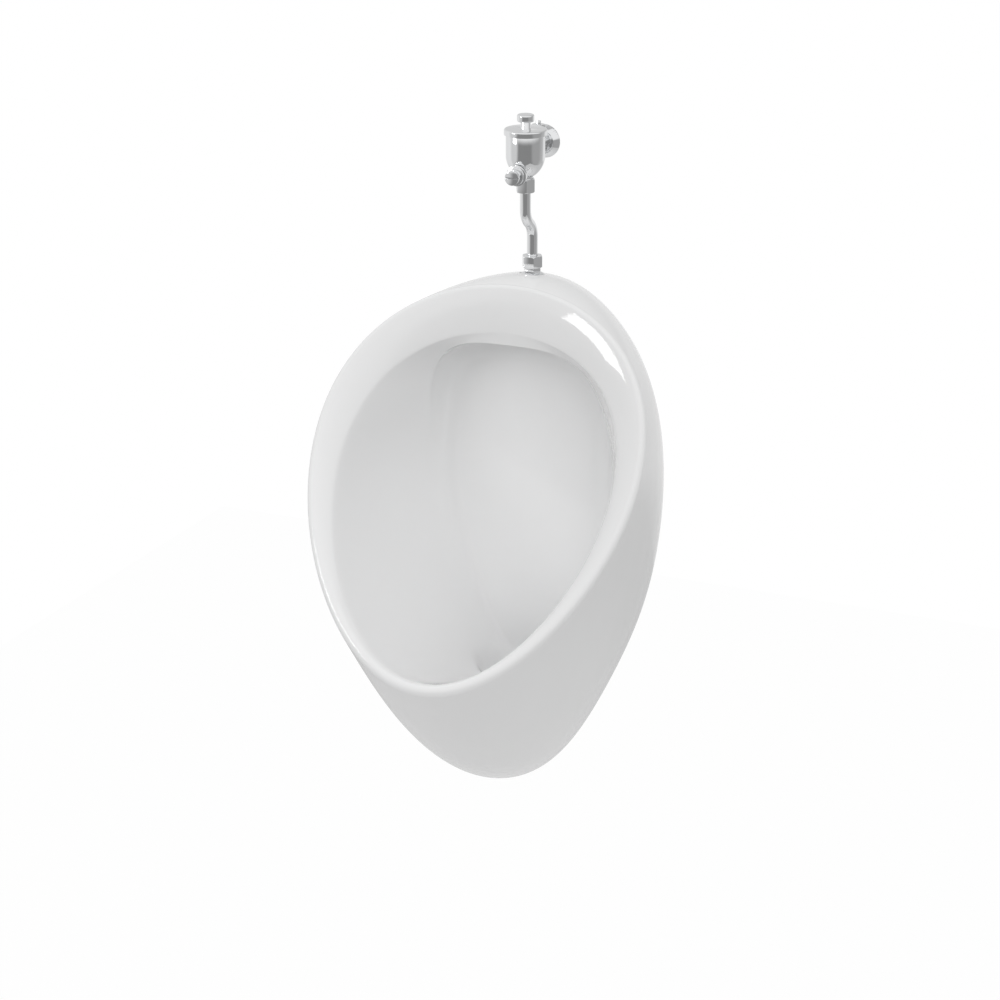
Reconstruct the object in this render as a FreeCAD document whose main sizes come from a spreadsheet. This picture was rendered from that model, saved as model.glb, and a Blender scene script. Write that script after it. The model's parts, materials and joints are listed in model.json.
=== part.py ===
"""Wall-hung urinal with an exposed push-knob flush valve.

Origin: centre of the waste outlet in the wall plane.  +Z up, +Y into the wall, -Y towards the user.
"""
import FreeCAD, Part
import Sketcher
import math
import os

doc = FreeCAD.newDocument("urinal")
sheet = doc.addObject("Spreadsheet::Sheet", "sizes")

# Driving dimensions in millimetres, except shares and powers (no unit), angles (degrees) and counts.
SIZES = {
    # Outline of the ceramic against the wall
    "wall_half_width": 142.1,
    "wall_top": 491.6,
    "wall_foot": 109.5,
    "wall_egg_share": 0.277,
    "wall_full_share": 0.168,
    # Rim crest: a leaning egg from the top edge to the lip
    "rim_half_width": 202.3,
    "rim_egg_share": 0.167,
    "rim_top_out": 88.8,
    "rim_lift": 7.3,
    "lip_out": 357,
    "lip_height": 87.6,
    "rim_foot_roll": 9,
    "rim_top_roll": 5.5,
    "rim_roll_back_share": 0.6,
    # Skirt between wall and rim, with the belly under the lip
    "skirt_swell": 20.7,
    "crown_swell": 12,
    "crown_power_share": 4,
    "belly_drop": 137.9,
    "belly_pull_share": -0.028,
    "belly_power_share": 7.4,
    # Soft crease where the funnel inside the rim ends
    "crease_top_inset": 53.4,
    "crease_foot_inset": 16.5,
    "crease_top_depth": 20,
    "crease_foot_depth": 4,
    "crease_power_share": 1.1,
    # Flat-topped niche in the back wall under the hood
    "niche_half_width": 116,
    "niche_top_drop": 63.6,
    "niche_height": 166,
    "niche_square_share": 3.4,
    "niche_top_out": 100,
    "niche_side_out": 72,
    "niche_ease_share": 0.45,
    "niche_cove_share": 0.8,
    # Bowl: back wall, floor and their soft corner
    "bowl_back_out": 45,
    "bowl_half_width": 126,
    "bowl_egg_share": 0.25,
    "bowl_top_drop": 67.6,
    "bowl_foot": 30,
    "bowl_floor_drop": 88,
    "bowl_floor_power_share": 3,
    # Flush water slot under the hood
    "spreader_half_width": 46,
    "spreader_height": 26,
    "spreader_lift": 12,
    "spreader_back_out": 24,
    "spreader_front_out": 66,
    # Recess in the back of the ceramic
    "recess_inset": 24,
    "recess_depth": 12,
    "outlet_boss_radius": 76,
    # Drain and the trap cast in the foot
    "drain_out": 91,
    "drain_radius": 32,
    "drain_ledge_height": 6,
    "drain_mouth_radius": 24,
    "drain_mouth_depth": 10,
    "trap_leg_radius": 18,
    "trap_rise_radius": 15,
    "trap_rise_out": 32,
    "trap_cross_radius": 13,
    "trap_cross_height": 66,
    "trap_sump": 4,
    "outlet_radius": 25,
    "outlet_depth": 36,
    "gasket_radius": 40,
    "gasket_depth": 8,
    # Strainer in the drain
    "strainer_clearance": 1,
    "strainer_thickness": 3,
    "strainer_dome": 2,
    "strainer_collar_depth": 6,
    "strainer_collar_wall": 1.5,
    "strainer_hole_radius": 2.2,
    "strainer_ring_step": 6.2,
    "strainer_ring_count": 3,
    "strainer_holes_per_ring_count": 6,
    # Two hooks screwed to the wall that carry the ceramic
    "hook_spacing": 150,
    "hook_drop": 99.6,
    "hook_width": 36,
    "hook_plate": 3,
    "hook_plate_length": 56,
    "hook_reach": 22,
    "hook_lip_gap": 0.5,
    "hook_tip_height": 12,
    "hook_screw_radius": 2.75,
    "hook_screw_spacing": 30,
    "hook_screw_margin": 11,
    "hook_side_room": 4,
    "hook_front_room": 5,
    "hook_top_room": 4,
    "hook_entry_height": 14,
    # Spud that joins the flush pipe to the ceramic
    "spud_out": 34,
    "spud_lift": 6.4,
    "spud_hole_radius": 11,
    "spud_face_radius": 15,
    "spud_tube_radius": 8.2,
    "spud_bore_radius": 6.55,
    "spud_rise": 16,
    "spud_sleeve": 22,
    "spud_foot_height": 3,
    "spud_flange_radius": 13.5,
    "spud_flange_height": 2.5,
    "spud_flange_lip": 1,
    "spud_nut_corner": 10.4,
    "spud_nut_height": 6.5,
    "coupling_corner": 12.6,
    "coupling_height": 14,
    "coupling_lid": 4,
    "nut_bevel": 1.2,
    # Flush pipe
    "pipe_radius": 6.35,
    "pipe_wall": 0.8,
    "pipe_entry": 18,
    "bend_foot_share": 0.275,
    "bend_share": 0.475,
    "pipe_flare_radius": 8.6,
    "pipe_flare_height": 2.5,
    # Flush valve: body
    "valve_rise": 152,
    "valve_out": 55,
    "cup_radius": 22.75,
    "cup_bore": 19.75,
    "cup_top": 18,
    "cup_round_start": 8,
    "cup_round_end": 30,
    "cup_round_radius": 30,
    "neck_radius": 9.5,
    "outlet_thread_radius": 9,
    "outlet_end": 40,
    "seat_depth": 12,
    "seat_radius": 7,
    "seat_land": 4,
    "outlet_bore": 5.2,
    "rim_thread_radius": 21.6,
    "arm_radius": 12,
    "shank_radius": 10.5,
    "shank_length": 15,
    "shank_neck_radius": 9.8,
    "shank_neck": 1,
    "inlet_bore": 5,
    # Flush valve: union to the pipe
    "union_corner": 11.6,
    "union_top": 33,
    "union_height": 16,
    "union_washer_height": 2,
    # Flush valve: cap, knob and rod
    "cap_radius": 25,
    "cap_height": 7,
    "cap_ceiling": 3,
    "cap_round": 2,
    "gasket_height": 0.8,
    "rod_radius": 5.85,
    "rod_collar_radius": 8,
    "rod_collar_height": 2.7,
    "rod_seal_height": 1.6,
    "rod_seal_width": 1.5,
    "rod_seal_share": 0.5,
    "knob_neck": 8,
    "knob_radius": 10,
    "knob_height": 8.5,
    "knob_round": 2,
    "knob_socket": 5,
    "knob_spigot": 3.5,
    # Flush valve: piston and relief pin
    "piston_top": 13,
    "piston_rim": 1,
    "piston_groove": 5,
    "piston_groove_radius": 16,
    "piston_stem": 7,
    "piston_well": 9.5,
    "piston_well_floor": 8,
    "spring_well": 5.6,
    "spring_well_floor": 1,
    "piston_hole": 2.4,
    "piston_clearance": 0.3,
    "piston_foot_radius": 11,
    "piston_foot_height": 3,
    "packing_height": 3,
    "packing_radius": 10.5,
    "packing_bore": 6.2,
    "pin_radius": 1.6,
    "pin_head_radius": 5,
    "pin_head_height": 1.7,
    "pin_gap": 0.3,
    "pin_disc_radius": 4,
    "pin_disc_height": 2,
    "pin_disc_gap": 0.3,
    "spring_radius": 3.6,
    "spring_wire": 0.45,
    "spring_turn_count": 6,
    # Flush valve: flow screw at the front
    "flow_drop": 25,
    "flow_boss_radius": 7.9,
    "flow_boss_out": 22,
    "flow_boss_bore": 6.6,
    "flow_bore_start": 12,
    "flow_gland_radius": 12,
    "flow_gland_length": 5,
    "flow_step_radius": 10,
    "flow_step_length": 4,
    "flow_nose_length": 3,
    "flow_seal_length": 2.5,
    "flow_shank": 4,
    "flow_head_radius": 8.35,
    "flow_head_gap": 1.7,
    "flow_head_length": 7.5,
    "flow_slot_width": 1.6,
    "flow_slot_depth": 1.8,
    "flow_plug_radius": 4.6,
    "flow_plug_tip": 6.5,
    "flow_plug_point": 2,
    # Flush valve: stop spindle on the inlet arm
    "stop_out": 18,
    "stop_boss_radius": 9,
    "stop_boss_top": 18,
    "stop_bore": 6.5,
    "stop_pocket": 6,
    "stop_disc_lift": 5.5,
    "stop_disc_height": 5,
    "stop_spindle_radius": 3,
    "stop_spindle_top": 27,
    "stop_seal_height": 2.5,
    "stop_nose_height": 3,
    "stop_nut_corner": 8.5,
    "stop_nut_height": 5,
    "stop_slot_width": 1.2,
    "stop_slot_depth": 1.5,
    # Cover flange on the wall
    "flange_radius": 20,
    "flange_front_radius": 14.5,
    "flange_depth": 8,
    "flange_wall": 1,
    # Fits
    "fit": 0.1,
    "seal_fit": 0.05,
    "overrun": 5,
}
for row, (name, value) in enumerate(SIZES.items(), start=1):
    sheet.set(f"A{row}", name)
    sheet.set(f"B{row}", str(value))
    sheet.setAlias(f"B{row}", name)
doc.recompute()

RING_POINT_COUNT = 48
SKIRT_SHARES = (0, 0.15, 0.35, 0.55, 0.75, 0.9, 1)
ROLL_DEGREES = (20, 50, 80, 105, 125)
FUNNEL_SHARES = (0.15, 0.35, 0.6, 0.8, 0.93)
BOWL_SHARES = (0.04, 0.1, 0.2, 0.33, 0.46, 0.54, 0.66, 0.8, 0.92, 1)
FLAT_SHARES = (0.88, 0.7)
FORWARD = {"axis": (1, 0, 0), "angle": 90}


class Size:
    """A named size, or a sum of them: its value and the sheet formula that gives it."""

    def __init__(self, value, formula):
        self.value = value
        self.formula = formula

    def __add__(self, other):
        return Size(self.value + other.value, f"({self.formula} + {other.formula})")

    def __sub__(self, other):
        return Size(self.value - other.value, f"({self.formula} - {other.formula})")

    def __mul__(self, factor):
        return Size(self.value * factor, f"({self.formula} * {factor})")

    def __neg__(self):
        return Size(-self.value, f"(-({self.formula}))")


class Cells:
    """Gives each cell of the sheet by its alias."""

    def __getattr__(self, name):
        return Size(float(sheet.get(name)), f"sizes.{name}")


at = Cells()
ZERO = Size(0.0, "0")

# Heights that follow the top of the wall outline
RIM_TOP = at.wall_top + at.rim_lift
BOWL_TOP = at.wall_top - at.bowl_top_drop
NICHE_TOP = at.wall_top - at.niche_top_drop
HOOK_LEDGE = at.wall_top - at.hook_drop
SPUD_SEAT = at.wall_top + at.spud_lift
INLET = SPUD_SEAT + at.valve_rise
NODES = {}


def bind(thing, prop, amount):
    """Tie one property of an object to the sheet."""
    thing.setExpression(prop, amount.formula)


def put(thing, x=ZERO, y=ZERO, z=ZERO, axis=(0, 0, 1), angle=0):
    """Place an object, with its position tied to the sheet."""
    turn = FreeCAD.Rotation(FreeCAD.Vector(*axis), angle)
    thing.Placement = FreeCAD.Placement(FreeCAD.Vector(x.value, y.value, z.value), turn)
    bind(thing, "Placement.Base.x", x)
    bind(thing, "Placement.Base.y", y)
    bind(thing, "Placement.Base.z", z)
    return thing


def keep(name, thing):
    """Name a finished piece."""
    thing.Label = name
    NODES[name] = thing
    return thing


def arc_between(start, end, radius):
    """Circle arc from start to end that bulges to the right of the way (negative radius: left)."""
    middle = (start + end) * 0.5
    half = (end - start).Length / 2
    way = (end - start).normalize()
    side = FreeCAD.Vector(way.y, -way.x, 0)
    size = abs(radius)
    rise = size - math.sqrt(max(size * size - half * half, 0))
    if radius < 0:
        rise = -rise
    return Part.Arc(start, middle + side * rise, end)


def turned(name, outline):
    """A body turned about its Z axis.

    The outline is closed and has (radius, height) or (radius, height, arc radius) corners; an arc
    radius bends the stretch from that corner to the next.
    """
    body = doc.addObject("PartDesign::Body", name + "_body")
    plane = [item for item in body.Origin.OriginFeatures if item.Role == "XZ_Plane"][0]
    sketch = body.newObject("Sketcher::SketchObject", name + "_outline")
    sketch.AttachmentSupport = [(plane, "")]
    sketch.MapMode = "FlatFace"
    spots = [FreeCAD.Vector(corner[0].value, corner[1].value, 0) for corner in outline]
    ends = []
    for number, corner in enumerate(outline):
        start = spots[number]
        end = spots[(number + 1) % len(spots)]
        if len(corner) == 3:
            arc = arc_between(start, end, corner[2].value)
            edge = sketch.addGeometry(arc, False)
            made = sketch.Geometry[edge]
            forward = (made.StartPoint - start).Length < (made.EndPoint - start).Length
            ends.append((edge, 1, 2) if forward else (edge, 2, 1))
            sketch.addConstraint(Sketcher.Constraint("Radius", edge, abs(corner[2].value)))
            place = sketch.ConstraintCount - 1
            bind(sketch, f"Constraints[{place}]", corner[2] if corner[2].value > 0 else -corner[2])
        else:
            ends.append((sketch.addGeometry(Part.LineSegment(start, end), False), 1, 2))
    for number, corner in enumerate(outline):
        edge, first, last = ends[number]
        before, before_first, before_last = ends[number - 1]
        sketch.addConstraint(Sketcher.Constraint("Coincident", before, before_last, edge, first))
        for kind, amount, axis in (("DistanceX", corner[0], -2), ("DistanceY", corner[1], -1)):
            if amount is ZERO:
                sketch.addConstraint(Sketcher.Constraint("PointOnObject", edge, first, axis))
                continue
            sketch.addConstraint(Sketcher.Constraint(kind, -1, 1, edge, first, amount.value))
            bind(sketch, f"Constraints[{sketch.ConstraintCount - 1}]", amount)
    turn = body.newObject("PartDesign::Revolution", name + "_turn")
    turn.Profile = sketch
    turn.ReferenceAxis = (sketch, ["V_Axis"])
    turn.Angle = 360
    body.Tip = turn
    return body


def rod(name, radius, length):
    """A plain cylinder on its own Z axis."""
    thing = doc.addObject("Part::Cylinder", name)
    bind(thing, "Radius", radius)
    bind(thing, "Height", length)
    return thing


def block(name, length, width, height):
    """A plain box from its own corner."""
    thing = doc.addObject("Part::Box", name)
    bind(thing, "Length", length)
    bind(thing, "Width", width)
    bind(thing, "Height", height)
    return thing


def cut(name, base, tools):
    """A base with one or more tools taken away."""
    tool = tools[0]
    if len(tools) > 1:
        tool = doc.addObject("Part::MultiFuse", name + "_tools")
        tool.Shapes = tools
    thing = doc.addObject("Part::Cut", name)
    thing.Base = base
    thing.Tool = tool
    thing.Refine = False
    return thing


def fuse(name, pieces):
    """Several shapes joined in one."""
    thing = doc.addObject("Part::MultiFuse", name)
    thing.Shapes = pieces
    return thing


def hexed(name, blank, corner, height):
    """A turned blank milled to six flats."""
    prism = doc.addObject("Part::Prism", name + "_flats")
    prism.Polygon = 6
    bind(prism, "Circumradius", corner)
    bind(prism, "Height", height)
    thing = doc.addObject("Part::Common", name)
    thing.Base = blank
    thing.Tool = prism
    return thing


# Ceramic: one closed surface through rings, from the wall over the rim and down into the bowl

def mix(first, second, share):
    return first + (second - first) * share


def wall_ring(angle):
    middle = (at.wall_top.value - at.wall_foot.value) / 2
    reach = (at.wall_top.value + at.wall_foot.value) / 2
    full = at.wall_full_share.value * math.sin(angle) ** 2 * (1 - math.cos(angle)) / 2
    egg = 1 + at.wall_egg_share.value * math.cos(angle) + full
    wide = at.wall_half_width.value * math.sin(angle) * egg
    return FreeCAD.Vector(wide, 0, middle + reach * math.cos(angle))


def rim_frame():
    """Middle of the rim plane, its upward direction, its outward normal and its half height."""
    top = FreeCAD.Vector(0, -at.rim_top_out.value, RIM_TOP.value)
    lip = FreeCAD.Vector(0, -at.lip_out.value, at.lip_height.value)
    up = (top - lip).normalize()
    normal = FreeCAD.Vector(0, -up.z, up.y)
    return (top + lip) * 0.5, up, normal, (top - lip).Length / 2


def rim_ring(angle):
    middle, up, normal, reach = rim_frame()
    egg = 1 + at.rim_egg_share.value * math.cos(angle)
    across = FreeCAD.Vector(at.rim_half_width.value * math.sin(angle) * egg, 0, 0)
    return middle + across + up * (reach * math.cos(angle))


def rim_outward(angle):
    """Direction in the rim plane that points away from the bowl."""
    middle, up, normal, reach = rim_frame()
    across = FreeCAD.Vector(math.sin(angle) / at.rim_half_width.value, 0, 0)
    return (across + up * (math.cos(angle) / reach)).normalize()


def rim_roll(angle, degrees):
    """A point on the rounded rim: 0 degrees on the skirt side, 90 on the crest."""
    normal = rim_frame()[2]
    outward = rim_outward(angle)
    radius = mix(at.rim_foot_roll.value, at.rim_top_roll.value, (1 + math.cos(angle)) / 2)
    centre = rim_ring(angle) - outward * radius - normal * (radius * at.rim_roll_back_share.value)
    turn = math.radians(degrees)
    return centre + outward * (radius * math.cos(turn)) + normal * (radius * math.sin(turn))


def skirt_ring(angle, share):
    """Quadratic curve from the wall to the rim; the belly hangs under the lip."""
    low = (1 - math.cos(angle)) / 2
    belly = low ** at.belly_power_share.value
    crown = (1 - low) ** at.crown_power_share.value
    foot = wall_ring(angle)
    rim = rim_roll(angle, ROLL_DEGREES[0])
    swell = mix(at.skirt_swell.value, at.crown_swell.value, crown) + at.belly_drop.value * belly
    guide = mix(foot, rim, 0.5 - at.belly_pull_share.value * belly)
    guide = guide + FreeCAD.Vector(math.sin(angle), 0, math.cos(angle)) * swell
    return mix(mix(foot, guide, share), mix(guide, rim, share), share)


def crease_ring(angle):
    high = ((1 + math.cos(angle)) / 2) ** at.crease_power_share.value
    inset = mix(at.crease_foot_inset.value, at.crease_top_inset.value, high)
    depth = mix(at.crease_foot_depth.value, at.crease_top_depth.value, high)
    return rim_ring(angle) - rim_outward(angle) * inset - rim_frame()[2] * depth


def funnel_ring(angle, share):
    return mix(rim_roll(angle, ROLL_DEGREES[-1]), crease_ring(angle), share)


def back_centre():
    return FreeCAD.Vector(0, -at.bowl_back_out.value, (BOWL_TOP.value + at.bowl_foot.value) / 2)


def back_ring(angle):
    reach = (BOWL_TOP.value - at.bowl_foot.value) / 2
    egg = 1 + at.bowl_egg_share.value * math.cos(angle)
    wide = at.bowl_half_width.value * math.sin(angle) * egg
    return back_centre() + FreeCAD.Vector(wide, 0, reach * math.cos(angle))


def plain_ring(angle, share):
    """Quadratic curve from the crease to the back wall, dipping to the floor at the foot."""
    low = ((1 - math.cos(angle)) / 2) ** at.bowl_floor_power_share.value
    crease = crease_ring(angle)
    back = back_ring(angle)
    guide = (crease + back) * 0.5
    guide.y = back.y
    guide.z = guide.z - at.bowl_floor_drop.value * low
    return mix(mix(crease, guide, share), mix(guide, back, share), share)


def niche_ring(angle, share):
    """A brow that ends in a flat-topped arch, then a cove to the wall of the bowl."""
    power = 2 / at.niche_square_share.value
    upper = max(math.cos(angle), 0)
    wide = at.niche_half_width.value * math.copysign(abs(math.sin(angle)) ** power, math.sin(angle))
    height = NICHE_TOP.value - at.niche_height.value * (1 - upper ** power)
    out = mix(at.niche_side_out.value, at.niche_top_out.value, upper)
    brow = FreeCAD.Vector(wide, -out, height)
    if share < 0.5:
        return mix(crease_ring(angle), brow, share * 2)
    corner = FreeCAD.Vector(wide, -at.bowl_back_out.value, height)
    rest = mix(back_centre(), corner, at.niche_cove_share.value)
    turn = share * 2 - 1
    return mix(mix(brow, corner, turn), mix(corner, rest, turn), turn)


def bowl_ring(angle, share):
    """The plain bowl below, easing into the niche above."""
    ease = min(max(math.cos(angle) / at.niche_ease_share.value, 0), 1)
    hooded = ease * ease * (3 - 2 * ease)
    return mix(plain_ring(angle, share), niche_ring(angle, share), hooded)


def flat_ring(angle, share):
    """The end of the bowl's curve drawn in towards the middle of its back wall."""
    return mix(back_centre(), bowl_ring(angle, 1), share)


def ring_curve(place, *options):
    """Smooth closed curve through one ring; it closes at the side, clear of every hole."""
    angles = [math.pi * (0.5 + 2 * number / RING_POINT_COUNT) for number in range(RING_POINT_COUNT)]
    knots = [number / RING_POINT_COUNT for number in range(RING_POINT_COUNT + 1)]
    curve = Part.BSplineCurve()
    curve.interpolate(Points=[place(angle, *options) for angle in angles],
                      Parameters=knots, PeriodicFlag=True)
    return curve


def skin_through(rings):
    """Smooth surface through closed curves that share their knots, spaced by their mean distance."""
    poles = [ring.getPoles() for ring in rings]
    steps = [0.0]
    for first, second in zip(poles, poles[1:]):
        gaps = [(one - other).Length for one, other in zip(first, second)]
        steps.append(steps[-1] + sum(gaps) / len(gaps))
    columns = []
    for column in zip(*poles):
        line = Part.BSplineCurve()
        line.interpolate(Points=list(column), Parameters=steps)
        columns.append(line)
    surface = Part.BSplineSurface()
    surface.buildFromPolesMultsKnots(
        [list(row) for row in zip(*[line.getPoles() for line in columns])],
        columns[0].getMultiplicities(), rings[0].getMultiplicities(),
        columns[0].getKnots(), rings[0].getKnots(),
        False, True, columns[0].Degree, rings[0].Degree)
    return surface.toShape()


def ceramic_blank():
    rings = [ring_curve(skirt_ring, share) for share in SKIRT_SHARES]
    rings += [ring_curve(rim_roll, degrees) for degrees in ROLL_DEGREES[1:]]
    rings += [ring_curve(funnel_ring, share) for share in FUNNEL_SHARES]
    rings += [ring_curve(bowl_ring, share) for share in BOWL_SHARES]
    rings += [ring_curve(flat_ring, share) for share in FLAT_SHARES]
    skin = skin_through(rings)
    ends = [Part.Face(Part.Wire(ring.toShape())) for ring in (rings[0], rings[-1])]
    shell = Part.Shell(Part.makeCompound([skin] + ends).Faces)
    shell.sewShape()
    blank = doc.addObject("Part::Feature", "ceramic_blank")
    blank.Shape = Part.Solid(shell)
    return blank


def recess_ring(angle):
    """The wall outline drawn in, for the recess in the back."""
    outline = wall_ring(angle)
    middle = (at.wall_top.value - at.wall_foot.value) / 2
    reach = (at.wall_top.value + at.wall_foot.value) / 2
    narrow = 1 - at.recess_inset.value / at.wall_half_width.value
    short = 1 - at.recess_inset.value / reach
    return FreeCAD.Vector(outline.x * narrow, at.overrun.value, middle + (outline.z - middle) * short)


def back_recess():
    """Shallow recess in the back, round the boss of the waste outlet."""
    face = Part.Face(Part.Wire(ring_curve(recess_ring).toShape()))
    hollow = doc.addObject("Part::Feature", "recess_blank")
    hollow.Shape = face.extrude(FreeCAD.Vector(0, -(at.overrun.value + at.recess_depth.value), 0))
    boss = rod("outlet_boss", at.outlet_boss_radius, at.overrun * 2 + at.recess_depth)
    put(boss, y=at.overrun * 2, **FORWARD)
    return cut("back_recess", hollow, [boss])


def water_ways():
    """Flush inlet and spreader slot, drain, trap and waste outlet."""
    slot_foot = BOWL_TOP + at.spreader_lift - at.spreader_height
    slot = block("spreader_slot", at.spreader_half_width * 2,
                 at.spreader_front_out - at.spreader_back_out, at.spreader_height)
    put(slot, -at.spreader_half_width, -at.spreader_front_out, slot_foot)
    inlet = rod("spud_hole", at.spud_hole_radius, SPUD_SEAT + at.overrun - slot_foot)
    put(inlet, y=-at.spud_out, z=slot_foot)
    face = rod("spud_face", at.spud_face_radius, at.overrun)
    put(face, y=-at.spud_out, z=SPUD_SEAT)
    drain = rod("drain_recess", at.drain_radius, at.bowl_foot)
    put(drain, y=-at.drain_out, z=at.drain_ledge_height)
    mouth = rod("drain_mouth", at.drain_mouth_radius, at.drain_mouth_depth + at.overrun)
    put(mouth, y=-at.drain_out, z=at.drain_ledge_height - at.drain_mouth_depth)
    sump = -at.trap_cross_height - at.trap_cross_radius - at.trap_sump
    leg = rod("trap_leg", at.trap_leg_radius, at.drain_ledge_height - sump)
    put(leg, y=-at.drain_out, z=sump)
    cross = rod("trap_cross", at.trap_cross_radius, at.drain_out - at.trap_rise_out)
    put(cross, y=-at.trap_rise_out, z=-at.trap_cross_height, **FORWARD)
    rise = rod("trap_rise", at.trap_rise_radius, -sump)
    put(rise, y=-at.trap_rise_out, z=sump)
    outlet = rod("waste_bore", at.outlet_radius, at.overrun + at.outlet_depth)
    put(outlet, y=at.overrun, **FORWARD)
    seat = rod("gasket_seat", at.gasket_radius, at.overrun + at.gasket_depth)
    put(seat, y=at.overrun, **FORWARD)
    return [slot, inlet, face, drain, mouth, leg, cross, rise, outlet, seat]


def hook_pocket(name, middle):
    """Undercut pocket in the back: an entry below the ledge and room for the hook tip above it."""
    wide = at.hook_width + at.hook_side_room * 2
    deep = at.hook_reach + at.hook_plate + at.hook_front_room
    left = middle - wide * 0.5
    entry = block(name + "_entry", wide, deep - at.recess_depth + at.overrun, at.hook_entry_height)
    put(entry, left, -deep, HOOK_LEDGE - at.hook_entry_height)
    above = block(name + "_above", wide, deep - at.hook_reach + at.hook_lip_gap,
                  at.hook_tip_height + at.hook_top_room + at.overrun)
    put(above, left, -deep, HOOK_LEDGE - at.overrun)
    room = block(name + "_room", wide, at.hook_plate + at.hook_front_room + at.overrun,
                 at.hook_plate_length + at.hook_side_room)
    put(room, left, -at.hook_plate - at.hook_front_room,
        HOOK_LEDGE - at.hook_plate_length - at.hook_side_room)
    return [entry, above, room]


def ceramic_body():
    tools = [back_recess()] + water_ways()
    tools += hook_pocket("left_pocket", at.hook_spacing * -0.5)
    tools += hook_pocket("right_pocket", at.hook_spacing * 0.5)
    keep("ceramic_body", cut("ceramic", ceramic_blank(), tools))


def drain_strainer():
    """Perforated disc on the drain ledge, with a collar that centres it in the mouth."""
    edge = at.drain_radius - at.strainer_clearance
    outer = at.drain_mouth_radius - at.strainer_clearance
    inner = outer - at.strainer_collar_wall
    base = at.strainer_collar_depth
    disc = turned("strainer", [
        (ZERO, base),
        (inner, base),
        (inner, ZERO),
        (outer, ZERO),
        (outer, base),
        (edge, base),
        (edge, base + at.strainer_thickness),
        (ZERO, base + at.strainer_thickness + at.strainer_dome),
    ])
    holes = []
    for ring in range(int(at.strainer_ring_count.value) + 1):
        around = max(1, ring * int(at.strainer_holes_per_ring_count.value))
        for number in range(around):
            turn = 2 * math.pi * number / around
            hole = rod(f"strainer_hole_{ring}_{number}", at.strainer_hole_radius,
                       base + at.strainer_thickness + at.strainer_dome + at.overrun)
            put(hole, at.strainer_ring_step * (ring * math.cos(turn)),
                at.strainer_ring_step * (ring * math.sin(turn)))
            holes.append(hole)
    strainer = cut("strainer_drilled", disc, holes)
    put(strainer, y=-at.drain_out, z=at.drain_ledge_height - base)
    keep("drain_strainer", strainer)


def outlet_gasket():
    gasket = turned("gasket", [
        (at.outlet_radius, ZERO),
        (at.gasket_radius - at.fit, ZERO),
        (at.gasket_radius - at.fit, at.gasket_depth),
        (at.outlet_radius, at.gasket_depth),
    ])
    keep("outlet_gasket", put(gasket, **FORWARD))


def wall_hook(name, middle):
    """Bent steel hook: a plate on the wall, an arm under the ceramic ledge and a tip behind it."""
    left = middle - at.hook_width * 0.5
    plate = block(name + "_plate", at.hook_width, at.hook_plate, at.hook_plate_length)
    put(plate, left, -at.hook_plate, HOOK_LEDGE - at.hook_plate_length)
    arm = block(name + "_arm", at.hook_width, at.hook_reach + at.hook_plate, at.hook_plate)
    put(arm, left, -at.hook_reach - at.hook_plate, HOOK_LEDGE - at.hook_plate)
    tip = block(name + "_tip", at.hook_width, at.hook_plate, at.hook_tip_height + at.hook_plate)
    put(tip, left, -at.hook_reach - at.hook_plate, HOOK_LEDGE - at.hook_plate)
    bent = fuse(name + "_bent", [plate, arm, tip])
    holes = []
    for number in range(2):
        hole = rod(f"{name}_hole_{number}", at.hook_screw_radius, at.hook_plate + at.overrun * 2)
        low = HOOK_LEDGE - at.hook_plate_length + at.hook_screw_margin
        put(hole, middle, at.overrun, low + at.hook_screw_spacing * number, **FORWARD)
        holes.append(hole)
    keep(name, cut(name + "_drilled", bent, holes))


def spud():
    """Tube in the ceramic, its rubber sleeve, cover flange and lock nut."""
    tube = at.spud_tube_radius
    foot = at.spud_hole_radius - at.fit * 2
    keep("spud_tube", put(turned("spud_tube", [
        (at.spud_bore_radius, -at.spud_sleeve - at.spud_foot_height),
        (foot, -at.spud_sleeve - at.spud_foot_height),
        (foot, -at.spud_sleeve),
        (tube, -at.spud_sleeve),
        (tube, at.spud_rise),
        (at.spud_bore_radius, at.spud_rise),
    ]), y=-at.spud_out, z=SPUD_SEAT))
    keep("spud_sleeve", put(turned("spud_sleeve", [
        (tube + at.fit, -at.spud_sleeve),
        (at.spud_hole_radius - at.fit, -at.spud_sleeve),
        (at.spud_hole_radius - at.fit, ZERO),
        (tube + at.fit, ZERO),
    ]), y=-at.spud_out, z=SPUD_SEAT))
    keep("spud_flange", put(turned("spud_flange", [
        (tube + at.fit, ZERO),
        (at.spud_flange_radius, ZERO),
        (at.spud_flange_radius, at.spud_flange_lip),
        (at.spud_nut_corner, at.spud_flange_height),
        (tube + at.fit, at.spud_flange_height),
    ]), y=-at.spud_out, z=SPUD_SEAT))
    nut = bevelled_nut("spud_lock_nut", at.spud_nut_corner, at.spud_nut_height, tube + at.fit)
    keep("spud_lock_nut", put(nut, y=-at.spud_out, z=SPUD_SEAT + at.spud_flange_height))


def bevelled_nut(name, corner, height, bore, lid=ZERO, lid_bore=ZERO):
    """Six-sided nut with bevelled ends; a lid closes its top down to a smaller bore."""
    top = [(bore, height)]
    if lid is not ZERO:
        top = [(lid_bore, height), (lid_bore, height - lid), (bore, height - lid)]
    blank = turned(name + "_blank", [
        (bore, ZERO),
        (corner - at.nut_bevel, ZERO),
        (corner, at.nut_bevel),
        (corner, height - at.nut_bevel),
        (corner - at.nut_bevel, height),
    ] + top)
    return hexed(name, blank, corner, height)


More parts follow.
